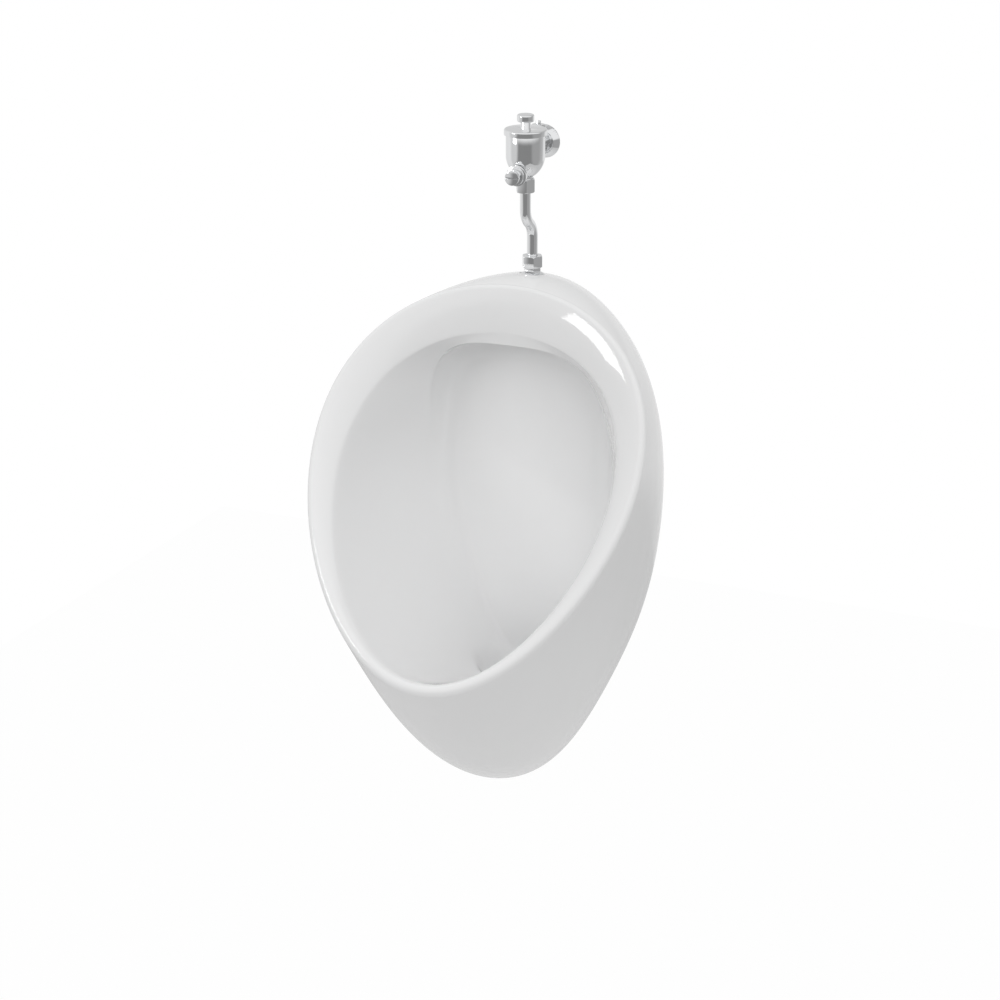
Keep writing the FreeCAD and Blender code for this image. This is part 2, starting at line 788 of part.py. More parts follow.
def flush_pipe():
    """Thin tube with an S-bend between spud and valve, flared at the top, and its two nuts."""
    low = -at.spud_out.value
    high = -at.valve_out.value
    coupling = SPUD_SEAT + at.spud_flange_height + at.spud_nut_height + at.coupling_height
    run = (INLET - at.union_top - at.union_height - coupling).value
    foot = coupling.value + run * at.bend_foot_share.value
    top = foot + run * at.bend_share.value
    end = INLET - at.outlet_end - at.union_washer_height
    rise = top - foot
    shift = low - high
    radius = (rise * rise + shift * shift) / (4 * shift)
    turn = math.asin(rise / (2 * radius))
    start = FreeCAD.Vector(0, low, SPUD_SEAT.value - at.pipe_entry.value)
    bend_start = FreeCAD.Vector(0, low, foot)
    middle = FreeCAD.Vector(0, (low + high) / 2, (foot + top) / 2)
    bend_end = FreeCAD.Vector(0, high, top)
    finish = FreeCAD.Vector(0, high, end.value)
    swing = FreeCAD.Vector(0, radius * (1 - math.cos(turn / 2)), radius * math.sin(turn / 2))
    first_mid = bend_start + FreeCAD.Vector(0, -swing.y, swing.z)
    second_mid = bend_end + FreeCAD.Vector(0, swing.y, -swing.z)
    spine = Part.Wire([
        Part.LineSegment(start, bend_start).toShape(),
        Part.Arc(bend_start, first_mid, middle).toShape(),
        Part.Arc(middle, second_mid, bend_end).toShape(),
        Part.LineSegment(bend_end, finish).toShape(),
    ])
    way = doc.addObject("Part::Feature", "pipe_way")
    way.Shape = spine
    tubes = []
    for name, size in (("pipe_outside", at.pipe_radius), ("pipe_inside", at.pipe_radius - at.pipe_wall)):
        section = doc.addObject("Part::Circle", name + "_section")
        bind(section, "Radius", size)
        put(section, y=-at.spud_out, z=SPUD_SEAT - at.pipe_entry)
        sweep = doc.addObject("Part::Sweep", name)
        sweep.Sections = [section]
        sweep.Spine = (way, ["Edge1", "Edge2", "Edge3", "Edge4"])
        sweep.Solid = True
        sweep.Frenet = False
        tubes.append(sweep)
    flare = rod("pipe_flare", at.pipe_flare_radius, at.pipe_flare_height)
    put(flare, y=-at.valve_out, z=end - at.pipe_flare_height)
    keep("flush_pipe", cut("pipe", fuse("pipe_flared", [tubes[0], flare]), [tubes[1]]))

    seat = SPUD_SEAT + at.spud_flange_height + at.spud_nut_height
    nut = bevelled_nut("coupling", at.coupling_corner, at.coupling_height,
                       at.spud_tube_radius + at.fit, at.coupling_lid, at.pipe_radius + at.fit)
    keep("flush_pipe_nut", put(nut, y=-at.spud_out, z=seat))
    seal_height = (at.spud_flange_height + at.spud_nut_height + at.coupling_height
                   - at.coupling_lid - at.spud_rise)
    seal = turned("cone_seal", [
        (at.pipe_radius + at.fit, ZERO),
        (at.spud_tube_radius, ZERO),
        (at.spud_tube_radius, seal_height),
        (at.pipe_radius + at.fit, seal_height),
    ])
    keep("flush_pipe_seal", put(seal, y=-at.spud_out, z=SPUD_SEAT + at.spud_rise))

    lid = at.union_height - (at.outlet_end - at.union_top + at.union_washer_height + at.pipe_flare_height)
    union = union_nut(lid)
    keep("outlet_union_nut", put(union, y=-at.valve_out,
                                 z=INLET - at.union_top - at.union_height))
    washer = turned("union_washer", [
        (at.outlet_bore, ZERO),
        (at.pipe_flare_radius, ZERO),
        (at.pipe_flare_radius, at.union_washer_height),
        (at.outlet_bore, at.union_washer_height),
    ])
    keep("union_washer", put(washer, y=-at.valve_out, z=end))


def union_nut(lid):
    """Six-sided union nut, closed at the foot down to the pipe."""
    bore = at.outlet_thread_radius + at.fit
    blank = turned("union_blank", [
        (at.pipe_radius + at.fit, ZERO),
        (at.union_corner - at.nut_bevel, ZERO),
        (at.union_corner, at.nut_bevel),
        (at.union_corner, at.union_height - at.nut_bevel),
        (at.union_corner - at.nut_bevel, at.union_height),
        (bore, at.union_height),
        (bore, lid),
        (at.pipe_radius + at.fit, lid),
    ])
    return hexed("union_nut", blank, at.union_corner, at.union_height)


# Flush valve: every piece is drawn from the inlet axis level on the valve axis

def in_valve(thing, drop=ZERO, out=ZERO, **turn):
    """Place a piece from the crossing of the valve axis and the inlet axis."""
    return put(thing, y=-at.valve_out - out, z=INLET - drop, **turn)


def valve_body():
    rim_top = at.cup_top + at.cap_ceiling - at.gasket_height
    cup = turned("valve_cup", [
        (ZERO, -at.outlet_end),
        (at.outlet_thread_radius, -at.outlet_end),
        (at.outlet_thread_radius, -at.cup_round_end),
        (at.neck_radius, -at.cup_round_end, at.cup_round_radius),
        (at.cup_radius, -at.cup_round_start),
        (at.cup_radius, at.cup_top),
        (at.rim_thread_radius, at.cup_top),
        (at.rim_thread_radius, rim_top),
        (ZERO, rim_top),
    ])
    arm_end = at.flange_depth
    arm = rod("inlet_arm", at.arm_radius, at.valve_out - arm_end)
    put(arm, y=-arm_end + at.valve_out, **FORWARD)
    neck = rod("inlet_neck", at.shank_neck_radius, at.valve_out + at.shank_length)
    put(neck, y=at.valve_out + at.shank_length, **FORWARD)
    shank = rod("inlet_shank", at.shank_radius, at.shank_length - at.shank_neck)
    put(shank, y=at.valve_out + at.shank_length, **FORWARD)
    flow_boss = rod("flow_boss", at.flow_boss_radius, at.flow_boss_out)
    put(flow_boss, z=-at.flow_drop, **FORWARD)
    stop_boss = rod("stop_boss", at.stop_boss_radius, at.stop_boss_top)
    put(stop_boss, y=at.valve_out - at.stop_out)
    casting = fuse("valve_casting", [cup, arm, neck, shank, flow_boss, stop_boss])
    bore = turned("valve_bore", [
        (ZERO, -at.outlet_end - at.overrun),
        (at.outlet_bore, -at.outlet_end - at.overrun),
        (at.outlet_bore, -at.seat_depth - at.seat_land),
        (at.seat_radius, -at.seat_depth - at.seat_land),
        (at.seat_radius, -at.seat_depth),
        (at.cup_bore, -at.seat_depth),
        (at.cup_bore, rim_top + at.overrun),
        (ZERO, rim_top + at.overrun),
    ])
    inlet = rod("inlet_way", at.inlet_bore, at.valve_out + at.shank_length + at.overrun - at.piston_stem)
    put(inlet, y=at.valve_out + at.shank_length + at.overrun, **FORWARD)
    plug_way = rod("plug_way", at.flow_plug_radius + at.fit, at.flow_boss_out)
    put(plug_way, z=-at.flow_drop, **FORWARD)
    flow_bore = rod("flow_bore", at.flow_boss_bore, at.flow_boss_out + at.overrun - at.flow_bore_start)
    put(flow_bore, y=-at.flow_bore_start, z=-at.flow_drop, **FORWARD)
    stop_bore = rod("stop_bore", at.stop_bore, at.stop_pocket + at.stop_boss_top + at.overrun)
    put(stop_bore, y=at.valve_out - at.stop_out, z=-at.stop_pocket)
    body = cut("valve", casting, [bore, inlet, plug_way, flow_bore, stop_bore])
    keep("valve_body", in_valve(body))


def valve_cap():
    bore = at.rod_radius + at.fit
    thread = at.rim_thread_radius + at.fit
    room = at.cap_height - at.cap_ceiling - at.rod_seal_height
    groove_low = at.cap_ceiling + room * at.rod_seal_share.value
    groove_high = groove_low + at.rod_seal_height
    groove = bore + at.rod_seal_width
    cap = turned("valve_cap", [
        (bore, at.cap_ceiling),
        (thread, at.cap_ceiling),
        (thread, ZERO),
        (at.cap_radius, ZERO),
        (at.cap_radius, at.cap_height - at.cap_round, at.cap_round),
        (at.cap_radius - at.cap_round, at.cap_height),
        (bore, at.cap_height),
        (bore, groove_high),
        (groove, groove_high),
        (groove, groove_low),
        (bore, groove_low),
    ])
    keep("valve_cap", in_valve(cap, -at.cup_top))
    seal = turned("rod_seal", [
        (at.rod_radius + at.seal_fit, groove_low),
        (groove, groove_low),
        (groove, groove_high),
        (at.rod_radius + at.seal_fit, groove_high),
    ])
    keep("rod_seal", in_valve(seal, -at.cup_top))
    gasket = turned("cap_gasket", [
        (at.cup_bore, at.cap_ceiling - at.gasket_height),
        (at.rim_thread_radius, at.cap_ceiling - at.gasket_height),
        (at.rim_thread_radius, at.cap_ceiling),
        (at.cup_bore, at.cap_ceiling),
    ])
    keep("cap_gasket", in_valve(gasket, -at.cup_top))


def rod_foot():
    """Height of the push rod's lower face above the inlet axis."""
    return at.cup_top + at.cap_ceiling - at.pin_gap - at.rod_collar_height


def push_knob():
    seat = at.cup_top + at.cap_height + at.knob_neck
    socket = at.knob_spigot + at.fit
    knob = turned("push_knob", [
        (socket, ZERO),
        (at.knob_radius - at.knob_round, ZERO, at.knob_round),
        (at.knob_radius, at.knob_round),
        (at.knob_radius, at.knob_height - at.knob_round, at.knob_round),
        (at.knob_radius - at.knob_round, at.knob_height),
        (ZERO, at.knob_height),
        (ZERO, at.knob_socket),
        (socket, at.knob_socket),
    ])
    keep("push_knob", in_valve(knob, -seat))
    foot = rod_foot()
    rod_body = turned("push_rod", [
        (ZERO, foot),
        (at.rod_collar_radius, foot),
        (at.rod_collar_radius, foot + at.rod_collar_height),
        (at.rod_radius, foot + at.rod_collar_height),
        (at.rod_radius, seat),
        (at.knob_spigot, seat),
        (at.knob_spigot, seat + at.knob_socket),
        (ZERO, seat + at.knob_socket),
    ])
    keep("push_rod", in_valve(rod_body))


def piston():
    head = at.cup_bore - at.piston_clearance
    groove_high = at.piston_top - at.piston_rim
    groove_low = groove_high - at.piston_groove
    foot = at.packing_height - at.seat_depth
    body = turned("piston", [
        (at.piston_hole, -at.seat_depth),
        (at.packing_bore - at.fit, -at.seat_depth),
        (at.packing_bore - at.fit, foot),
        (at.piston_foot_radius, foot),
        (at.piston_foot_radius, foot + at.piston_foot_height),
        (at.piston_stem, foot + at.piston_foot_height),
        (at.piston_stem, groove_low - at.piston_rim),
        (head, groove_low - at.piston_rim),
        (head, groove_low),
        (at.piston_groove_radius, groove_low),
        (at.piston_groove_radius, groove_high),
        (head, groove_high),
        (head, at.piston_top),
        (at.piston_well, at.piston_top),
        (at.piston_well, at.piston_well_floor),
        (at.spring_well, at.piston_well_floor),
        (at.spring_well, at.spring_well_floor),
        (at.piston_hole, at.spring_well_floor),
    ])
    keep("piston", in_valve(body))
    seal = turned("piston_seal", [
        (at.piston_groove_radius + at.fit, groove_low),
        (at.cup_bore - at.fit, groove_low),
        (at.cup_bore - at.fit, groove_high),
        (at.piston_groove_radius + at.fit, groove_high),
    ])
    keep("piston_seal", in_valve(seal))
    packing = turned("seat_packing", [
        (at.packing_bore, -at.seat_depth),
        (at.packing_radius, -at.seat_depth),
        (at.packing_radius, foot),
        (at.packing_bore, foot),
    ])
    keep("seat_packing", in_valve(packing))


def relief_pin():
    top = rod_foot() - at.pin_gap
    disc_top = -at.seat_depth - at.pin_disc_gap
    pin = turned("relief_pin", [
        (ZERO, disc_top - at.pin_disc_height),
        (at.pin_disc_radius, disc_top - at.pin_disc_height),
        (at.pin_disc_radius, disc_top),
        (at.pin_radius, disc_top),
        (at.pin_radius, top - at.pin_head_height),
        (at.pin_head_radius, top - at.pin_head_height),
        (at.pin_head_radius, top),
        (ZERO, top),
    ])
    keep("relief_pin", in_valve(pin))


def arc_from(start, way, end):
    """Circle arc that leaves start along a direction and arrives at end."""
    chord = end - start
    ahead = FreeCAD.Vector(chord).normalize()
    side = (way - ahead * way.dot(ahead)).normalize()
    bulge = chord.Length / 2 * math.tan(way.getAngle(chord) / 2)
    return Part.Arc(start, (start + end) * 0.5 + side * bulge, end).toShape()


def arc_pair(start, start_way, end, end_way):
    """Two arcs that join two points smoothly, each along its own direction."""
    chord = end - start
    both = start_way + end_way
    spread = 2 * (1 - start_way.dot(end_way))
    root = math.sqrt(chord.dot(both) ** 2 + spread * chord.dot(chord))
    handle = (root - chord.dot(both)) / spread
    middle = (start + end + (start_way - end_way) * handle) * 0.5
    return [arc_from(start, start_way, middle), arc_from(end, end_way * -1, middle)]


def relief_spring():
    """Helical spring between the floor of the piston's inner well and the head of the relief pin."""
    wire = at.spring_wire.value
    radius = at.spring_radius.value
    low = at.spring_well_floor.value + wire
    high = rod_foot().value - at.pin_gap.value - at.pin_head_height.value - wire
    quarters = int(at.spring_turn_count.value) * 4
    pitch = (high - low) / quarters

    def spot(number):
        turn = math.pi / 2 * number
        return FreeCAD.Vector(radius * math.cos(turn), radius * math.sin(turn), low + pitch * number)

    def way(number):
        turn = math.pi / 2 * number
        slope = pitch / (math.pi / 2)
        return FreeCAD.Vector(-radius * math.sin(turn), radius * math.cos(turn), slope).normalize()

    edges = []
    for number in range(quarters):
        edges += arc_pair(spot(number), way(number), spot(number + 1), way(number + 1))
    coil = Part.Wire(Part.__sortEdges__(edges))
    section = Part.Wire(Part.makeCircle(wire, spot(0), way(0)))
    shape = coil.makePipeShell([section], True, False)
    print(f"relief spring: gap between turns {pitch * 4 - 2 * wire:.2f} mm")
    spring = doc.addObject("Part::Feature", "relief_spring")
    spring.Shape = shape
    keep("relief_spring", in_valve(spring))


def flow_screw():
    """Screw at the front that throttles the flush, with its plug, seal and gland nut."""
    boss = at.flow_boss_out
    nose = boss - at.flow_nose_length
    collar = boss + at.flow_gland_length
    step = collar + at.flow_step_length
    bore = at.flow_shank + at.fit
    slide = at.flow_boss_bore - at.fit
    gland = turned("flow_gland", [
        (bore, nose),
        (slide, nose),
        (slide, boss),
        (at.flow_gland_radius, boss),
        (at.flow_gland_radius, collar),
        (at.flow_step_radius, collar),
        (at.flow_step_radius, step),
        (bore, step),
    ])
    keep("flow_gland_nut", in_valve(gland, at.flow_drop, **FORWARD))
    seal = turned("flow_seal", [
        (at.flow_shank + at.seal_fit, nose - at.flow_seal_length),
        (slide, nose - at.flow_seal_length),
        (slide, nose),
        (at.flow_shank + at.seal_fit, nose),
    ])
    keep("flow_screw_seal", in_valve(seal, at.flow_drop, **FORWARD))
    back = step + at.flow_head_gap
    face = back + at.flow_head_length
    blank = turned("flow_screw_blank", [
        (ZERO, at.flow_bore_start),
        (at.flow_shank, at.flow_bore_start),
        (at.flow_shank, back),
        (at.flow_head_radius, back),
        (at.flow_head_radius, face),
        (ZERO, face),
    ])
    reach = at.flow_head_radius + at.overrun
    slot = block("flow_slot", reach * 2, at.flow_slot_width, at.flow_slot_depth + at.overrun)
    put(slot, -reach, at.flow_slot_width * -0.5, face - at.flow_slot_depth)
    screw = cut("flow_screw_slotted", blank, [slot])
    keep("flow_screw", in_valve(screw, at.flow_drop, **FORWARD))
    plug = turned("flow_plug", [
        (ZERO, at.flow_plug_tip),
        (at.flow_plug_radius - at.flow_plug_point, at.flow_plug_tip),
        (at.flow_plug_radius, at.flow_plug_tip + at.flow_plug_point),
        (at.flow_plug_radius, at.flow_bore_start),
        (ZERO, at.flow_bore_start),
    ])
    keep("flow_plug", in_valve(plug, at.flow_drop, **FORWARD))


def stop_spindle():
    """Stop on the inlet arm: a disc that drops across the water way, its spindle, seal and gland."""
    out = at.stop_out - at.valve_out
    disc_top = at.stop_disc_lift + at.stop_disc_height
    disc = turned("stop_disc", [
        (ZERO, at.stop_disc_lift),
        (at.stop_bore - at.fit, at.stop_disc_lift),
        (at.stop_bore - at.fit, disc_top),
        (ZERO, disc_top),
    ])
    keep("stop_disc", in_valve(disc, out=out))
    blank = turned("stop_spindle_blank", [
        (ZERO, disc_top),
        (at.stop_spindle_radius, disc_top),
        (at.stop_spindle_radius, at.stop_spindle_top),
        (ZERO, at.stop_spindle_top),
    ])
    reach = at.stop_spindle_radius + at.overrun
    slot = block("stop_slot", reach * 2, at.stop_slot_width, at.stop_slot_depth + at.overrun)
    put(slot, -reach, at.stop_slot_width * -0.5, at.stop_spindle_top - at.stop_slot_depth)
    keep("stop_spindle", in_valve(cut("stop_spindle_slotted", blank, [slot]), out=out))
    nose = at.stop_boss_top - at.stop_nose_height
    seal = turned("stop_seal", [
        (at.stop_spindle_radius + at.seal_fit, nose - at.stop_seal_height),
        (at.stop_bore - at.fit, nose - at.stop_seal_height),
        (at.stop_bore - at.fit, nose),
        (at.stop_spindle_radius + at.seal_fit, nose),
    ])
    keep("stop_seal", in_valve(seal, out=out))
    bore = at.stop_spindle_radius + at.fit
    nut = bevelled_nut("stop_nut", at.stop_nut_corner, at.stop_nut_height, bore)
    put(nut, z=at.stop_boss_top)
    neck = turned("stop_nut_nose", [
        (bore, nose),
        (at.stop_bore - at.fit, nose),
        (at.stop_bore - at.fit, at.stop_boss_top),
        (bore, at.stop_boss_top),
    ])
    keep("stop_gland_nut", in_valve(fuse("stop_gland", [nut, neck]), out=out))


def wall_flange():
    """Spun cover between the valve's arm and the wall."""
    bore = at.shank_radius + at.fit
    flange = turned("wall_flange", [
        (at.flange_radius, ZERO),
        (at.flange_front_radius, at.flange_depth),
        (bore, at.flange_depth),
        (bore, at.flange_depth - at.flange_wall),
        (at.flange_front_radius - at.flange_wall, at.flange_depth - at.flange_wall),
        (at.flange_radius - at.flange_wall, ZERO),
    ])
    keep("wall_flange", put(flange, z=INLET, **FORWARD))


ceramic_body()
drain_strainer()
outlet_gasket()
wall_hook("wall_hook_left", at.hook_spacing * -0.5)
wall_hook("wall_hook_right", at.hook_spacing * 0.5)
spud()
flush_pipe()
valve_body()
valve_cap()
push_knob()
piston()
relief_pin()
relief_spring()
flow_screw()
stop_spindle()
wall_flange()

doc.recompute()
for thing in doc.Objects:
    if "Invalid" in thing.State or "Error" in thing.State:
        raise RuntimeError(f"{thing.Label} failed: {thing.State}")
for name, thing in NODES.items():
    if thing.Shape.isNull() or not thing.Shape.isValid() or not thing.Shape.Solids:
        raise RuntimeError(f"{name} has no valid solid")

os.makedirs("parts", exist_ok=True)
for name, thing in NODES.items():
    thing.Shape.exportStep(f"parts/{name}.step")
    print(f"{name}: {len(thing.Shape.Solids)} solid, {thing.Shape.Volume:.1f} mm3")
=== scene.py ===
# %% Load the frame
import json
import math

import bmesh
import bpy
from mathutils import Matrix, Vector


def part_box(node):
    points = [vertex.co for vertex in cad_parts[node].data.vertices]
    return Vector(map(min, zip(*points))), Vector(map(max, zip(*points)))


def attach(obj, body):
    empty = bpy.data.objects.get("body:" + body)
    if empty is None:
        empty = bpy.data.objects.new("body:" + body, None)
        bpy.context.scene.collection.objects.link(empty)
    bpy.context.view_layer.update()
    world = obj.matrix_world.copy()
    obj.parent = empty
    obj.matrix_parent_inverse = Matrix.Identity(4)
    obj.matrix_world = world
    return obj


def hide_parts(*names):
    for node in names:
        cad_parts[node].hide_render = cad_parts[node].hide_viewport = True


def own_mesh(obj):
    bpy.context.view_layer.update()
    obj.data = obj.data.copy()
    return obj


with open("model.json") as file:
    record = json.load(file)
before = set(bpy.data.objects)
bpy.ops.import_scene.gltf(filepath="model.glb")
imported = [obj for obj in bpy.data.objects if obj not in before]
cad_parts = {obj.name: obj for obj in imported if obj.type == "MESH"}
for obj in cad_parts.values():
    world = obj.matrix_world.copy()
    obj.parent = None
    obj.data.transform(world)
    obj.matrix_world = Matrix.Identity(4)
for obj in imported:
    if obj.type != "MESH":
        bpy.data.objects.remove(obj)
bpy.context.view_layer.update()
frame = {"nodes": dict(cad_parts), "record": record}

MM = 0.001

# %% [markdown]
# ## Node trees as arithmetic
# The bowl's form and every finish here are node trees. Wiring them link by link hides the formula,
# so a tap wraps one socket and adds a Math node whenever it meets an operator. Every other node
# comes from the one method below, which sets the node's settings first and its sockets after.

# %% Taps and benches
def pick(sockets, key):
    """A socket by its number, or the first one in use with that name."""
    if isinstance(key, int):
        return sockets[key]
    return next(socket for socket in sockets if socket.name == key and socket.enabled)


class Tap:
    """One output of a node; arithmetic on it adds Math nodes to the tree."""

    def __init__(self, bench, node, output=0):
        self.bench = bench
        self.made = node
        self.socket = pick(node.outputs, output) if node.outputs else None

    def out(self, output):
        return Tap(self.bench, self.made, output)

    def math(self, operation, *others):
        return self.bench.node("ShaderNodeMath", {"operation": operation}, dict(enumerate((self,) + others)))

    def reflected(self, operation, other):
        return self.bench.node("ShaderNodeMath", {"operation": operation}, {0: other, 1: self})

    def __add__(self, other):
        return self.math("ADD", other)

    def __sub__(self, other):
        return self.math("SUBTRACT", other)

    def __mul__(self, other):
        return self.math("MULTIPLY", other)

    def __truediv__(self, other):
        return self.math("DIVIDE", other)

    def __pow__(self, other):
        return self.math("POWER", other)

    def __rsub__(self, other):
        return self.reflected("SUBTRACT", other)

    def __rtruediv__(self, other):
        return self.reflected("DIVIDE", other)

    def __neg__(self):
        return self * -1.0

    __radd__ = __add__
    __rmul__ = __mul__


class Bench:
    """A node tree that is being built."""

    def __init__(self, tree):
        self.tree = tree

    def node(self, kind, settings=None, values=None, output=0):
        made = self.tree.nodes.new(kind)
        for name, setting in (settings or {}).items():
            setattr(made, name, setting)
        for key, value in (values or {}).items():
            socket = pick(made.inputs, key)
            if isinstance(value, Tap):
                self.tree.links.new(value.socket, socket)
            else:
                socket.default_value = value
        return Tap(self, made, output)


# %% Steps and mixtures
def mix(first, second, share):
    """The first at a share of 0 and the second at 1, for numbers, taps and places."""
    return first + (second - first) * share


def clamped(bench, value):
    """Held between 0 and 1."""
    return bench.node("ShaderNodeClamp", values={"Value": value})


def step(bench, value, start=0.0, end=1.0):
    """0 up to start, 1 from end on, smooth between."""
    return bench.node("ShaderNodeMapRange", {"interpolation_type": "SMOOTHSTEP"}, {
        "Value": value, "From Min": start, "From Max": end})


print("node bench ready")

# %% [markdown]
# ## Finishes
# The glaze is fired glass over white clay: nearly even in colour, very smooth, with a faint orange
# peel that only reflections show. Chrome plate is a mirror with a trace of wiping marks. The pieces
# inside are turned brass, black rubber and zinc plated steel, and the strainer is satin steel. A
# picture would need each piece unwrapped, so all of them are noise on the piece's own coordinates.

# %% Shader helpers
def new_finish(name):
    finish = bpy.data.materials.new(name)
    finish.use_nodes = True
    finish.node_tree.nodes.clear()
    return finish, Bench(finish.node_tree)


def speckle(bench, scale, detail, stretch=(1.0, 1.0, 1.0)):
    """Cloudy noise from 0 to 1 on the piece's own coordinates."""
    place = bench.node("ShaderNodeTexCoord", output="Object")
    placed = bench.node("ShaderNodeMapping", values={"Vector": place, "Scale": stretch})
    return bench.node("ShaderNodeTexNoise", values={"Vector": placed, "Scale": scale, "Detail": detail})


def blend_tone(bench, share, first, second):
    return bench.node("ShaderNodeMix", {"data_type": "RGBA"},
                      {"Factor": share, "A": (*first, 1.0), "B": (*second, 1.0)}, "Result")


def close_finish(bench, values, bump=None, depth=0.0):
    """Principled shader with an optional bump of a depth in metres, wired to the output."""
    if bump is not None:
        ripple = bench.node("ShaderNodeBump", values={"Strength": 1.0, "Distance": depth, "Height": bump})
        values = dict(values, Normal=ripple)
    shader = bench.node("ShaderNodeBsdfPrincipled", values=values)
    bench.node("ShaderNodeOutputMaterial", values={"Surface": shader})


# %% Glaze, chrome, brass, rubber, steel
def glaze_finish():
    finish, bench = new_finish("white_glaze")
    cloud = speckle(bench, 7.0, 2.0)
    peel = speckle(bench, 160.0, 2.0)
    close_finish(bench, {
        "Base Color": blend_tone(bench, cloud, (0.872, 0.873, 0.874), (0.90, 0.901, 0.902)),
        "Roughness": 0.035 + 0.04 * cloud,
        "IOR": 1.52,
    }, peel, 0.04 * MM)
    return finish


def chrome_finish():
    finish, bench = new_finish("chrome_plate")
    wipe = speckle(bench, 60.0, 4.0, (1.0, 1.0, 0.35))
    close_finish(bench, {
        "Base Color": blend_tone(bench, wipe, (0.80, 0.81, 0.82), (0.87, 0.875, 0.88)),
        "Metallic": 1.0,
        "Roughness": 0.025 + 0.05 * wipe,
    })
    return finish


def brass_finish():
    finish, bench = new_finish("turned_brass")
    tarnish = speckle(bench, 90.0, 3.0)
    lathe_marks = speckle(bench, 900.0, 1.0, (0.15, 0.15, 4.0))
    close_finish(bench, {
        "Base Color": blend_tone(bench, tarnish, (0.66, 0.48, 0.20), (0.76, 0.60, 0.31)),
        "Metallic": 1.0,
        "Roughness": 0.22 + 0.18 * lathe_marks,
    }, lathe_marks, 0.02 * MM)
    return finish


def rubber_finish():
    finish, bench = new_finish("black_rubber")
    bloom = speckle(bench, 120.0, 4.0)
    grain = speckle(bench, 1400.0, 2.0)
    close_finish(bench, {
        "Base Color": blend_tone(bench, bloom, (0.022, 0.022, 0.024), (0.055, 0.055, 0.058)),
        "Roughness": 0.62 + 0.2 * bloom,
    }, grain, 0.03 * MM)
    return finish


def steel_finish():
    finish, bench = new_finish("zinc_plated_steel")
    spangle = speckle(bench, 55.0, 5.0)
    close_finish(bench, {
        "Base Color": blend_tone(bench, spangle, (0.52, 0.53, 0.55), (0.68, 0.69, 0.70)),
        "Metallic": 1.0,
        "Roughness": 0.24 + 0.22 * spangle,
    })
    return finish


def strainer_finish():
    finish, bench = new_finish("satin_strainer_steel")
    satin = speckle(bench, 700.0, 2.0, (1.0, 0.12, 1.0))
    film = speckle(bench, 40.0, 3.0)
    close_finish(bench, {
        "Base Color": blend_tone(bench, film, (0.62, 0.63, 0.64), (0.74, 0.75, 0.76)),
        "Metallic": 1.0,
        "Roughness": 0.24 + 0.14 * satin,
    }, satin, 0.01 * MM)
    return finish


FINISHES = {
    "glaze": glaze_finish(),
    "chrome": chrome_finish(),
    "brass": brass_finish(),
    "rubber": rubber_finish(),
    "steel": steel_finish(),
    "strainer": strainer_finish(),
}
print("finishes:", ", ".join(FINISHES))

# %% [markdown]
# ## The ceramic as one bent grid
# The casting is an egg on the wall, a larger leaning egg at the rim, and a bowl behind it. A grid is
# bent so that one side runs round the egg and the other runs from the wall, over the skirt, the
# rolled rim and the funnel, into the bowl and to the middle of its back. The formulas are those that
# the solid was drawn with, so the glaze lies where the solid is. Two forms are softer than the
# solid's: a dish is sunk round the drain, and the bowl's walls run into its back in a wider curve. A
# short blur rounds the creases.

# %% Sizes of the ceramic in millimetres, powers and shares
CERAMIC = {
    "Wall half width": 142.1, "Wall top": 491.6, "Wall foot": 109.5,
    "Wall egg share": 0.277, "Wall full share": 0.168,
    "Rim half width": 202.3, "Rim egg share": 0.167, "Rim top out": 88.8, "Rim top height": 498.9,
    "Lip out": 357.0, "Lip height": 87.6, "Foot roll": 9.0, "Top roll": 5.5, "Roll back share": 0.6,
    "Skirt swell": 20.7, "Crown swell": 12.0, "Crown power share": 4.0,
    "Belly drop": 137.9, "Belly pull share": -0.028, "Belly power share": 7.4,
    "Crease top inset": 53.4, "Crease foot inset": 16.5,
    "Crease top depth": 20.0, "Crease foot depth": 4.0,
    "Crease power share": 1.1, "Funnel swell share": 0.5,
    "Niche half width": 116.0, "Niche top": 428.0, "Niche middle": 262.0, "Niche square share": 3.4,
    "Niche top out": 100.0, "Niche side out": 72.0, "Niche ease share": 0.45, "Niche cove share": 0.8,
    "Bowl back out": 45.0, "Bowl half width": 86.0, "Bowl egg share": 0.25,
    "Bowl top": 424.0, "Bowl foot": 30.0, "Bowl floor drop": 88.0, "Bowl floor power share": 3.0,
    "Drain out": 91.0, "Dip radius": 46.0, "Dip run": 14.0, "Dip depth": 18.0, "Dip foot": 7.5,
}
ROLL_START, ROLL_END = math.radians(20), math.radians(105)

# %% Rows and columns of the grid
STRETCHES = {"wall": 12, "skirt": 64, "roll": 22, "funnel": 20, "bowl": 84, "back": 30}
STARTS = {}
ROWS = 0
for label, count in STRETCHES.items():
    STARTS[label] = ROWS
    ROWS += count
COLUMNS = 200
TURN_START = 0.75
WALL_CROWDING, SKIRT_CROWDING = 2.5, 1.3
ROW_MARGIN = 0.01
SEAM_GAP = 0.01
BLUR_ROUNDS = 3
print("grid of", COLUMNS, "columns and", ROWS, "rows")


# %% Places built from taps
class Spot:
    """A place whose three coordinates are taps or numbers."""

    def __init__(self, x, y, z):
        self.x, self.y, self.z = x, y, z

    def __add__(self, other):
        return Spot(self.x + other.x, self.y + other.y, self.z + other.z)

    def __sub__(self, other):
        return Spot(self.x - other.x, self.y - other.y, self.z - other.z)

    def __mul__(self, factor):
        return Spot(self.x * factor, self.y * factor, self.z * factor)


def bezier(first, pull, last, share):
    """A curve from the first place to the last that leans towards the pull."""
    return mix(mix(first, pull, share), mix(pull, last, share), share)


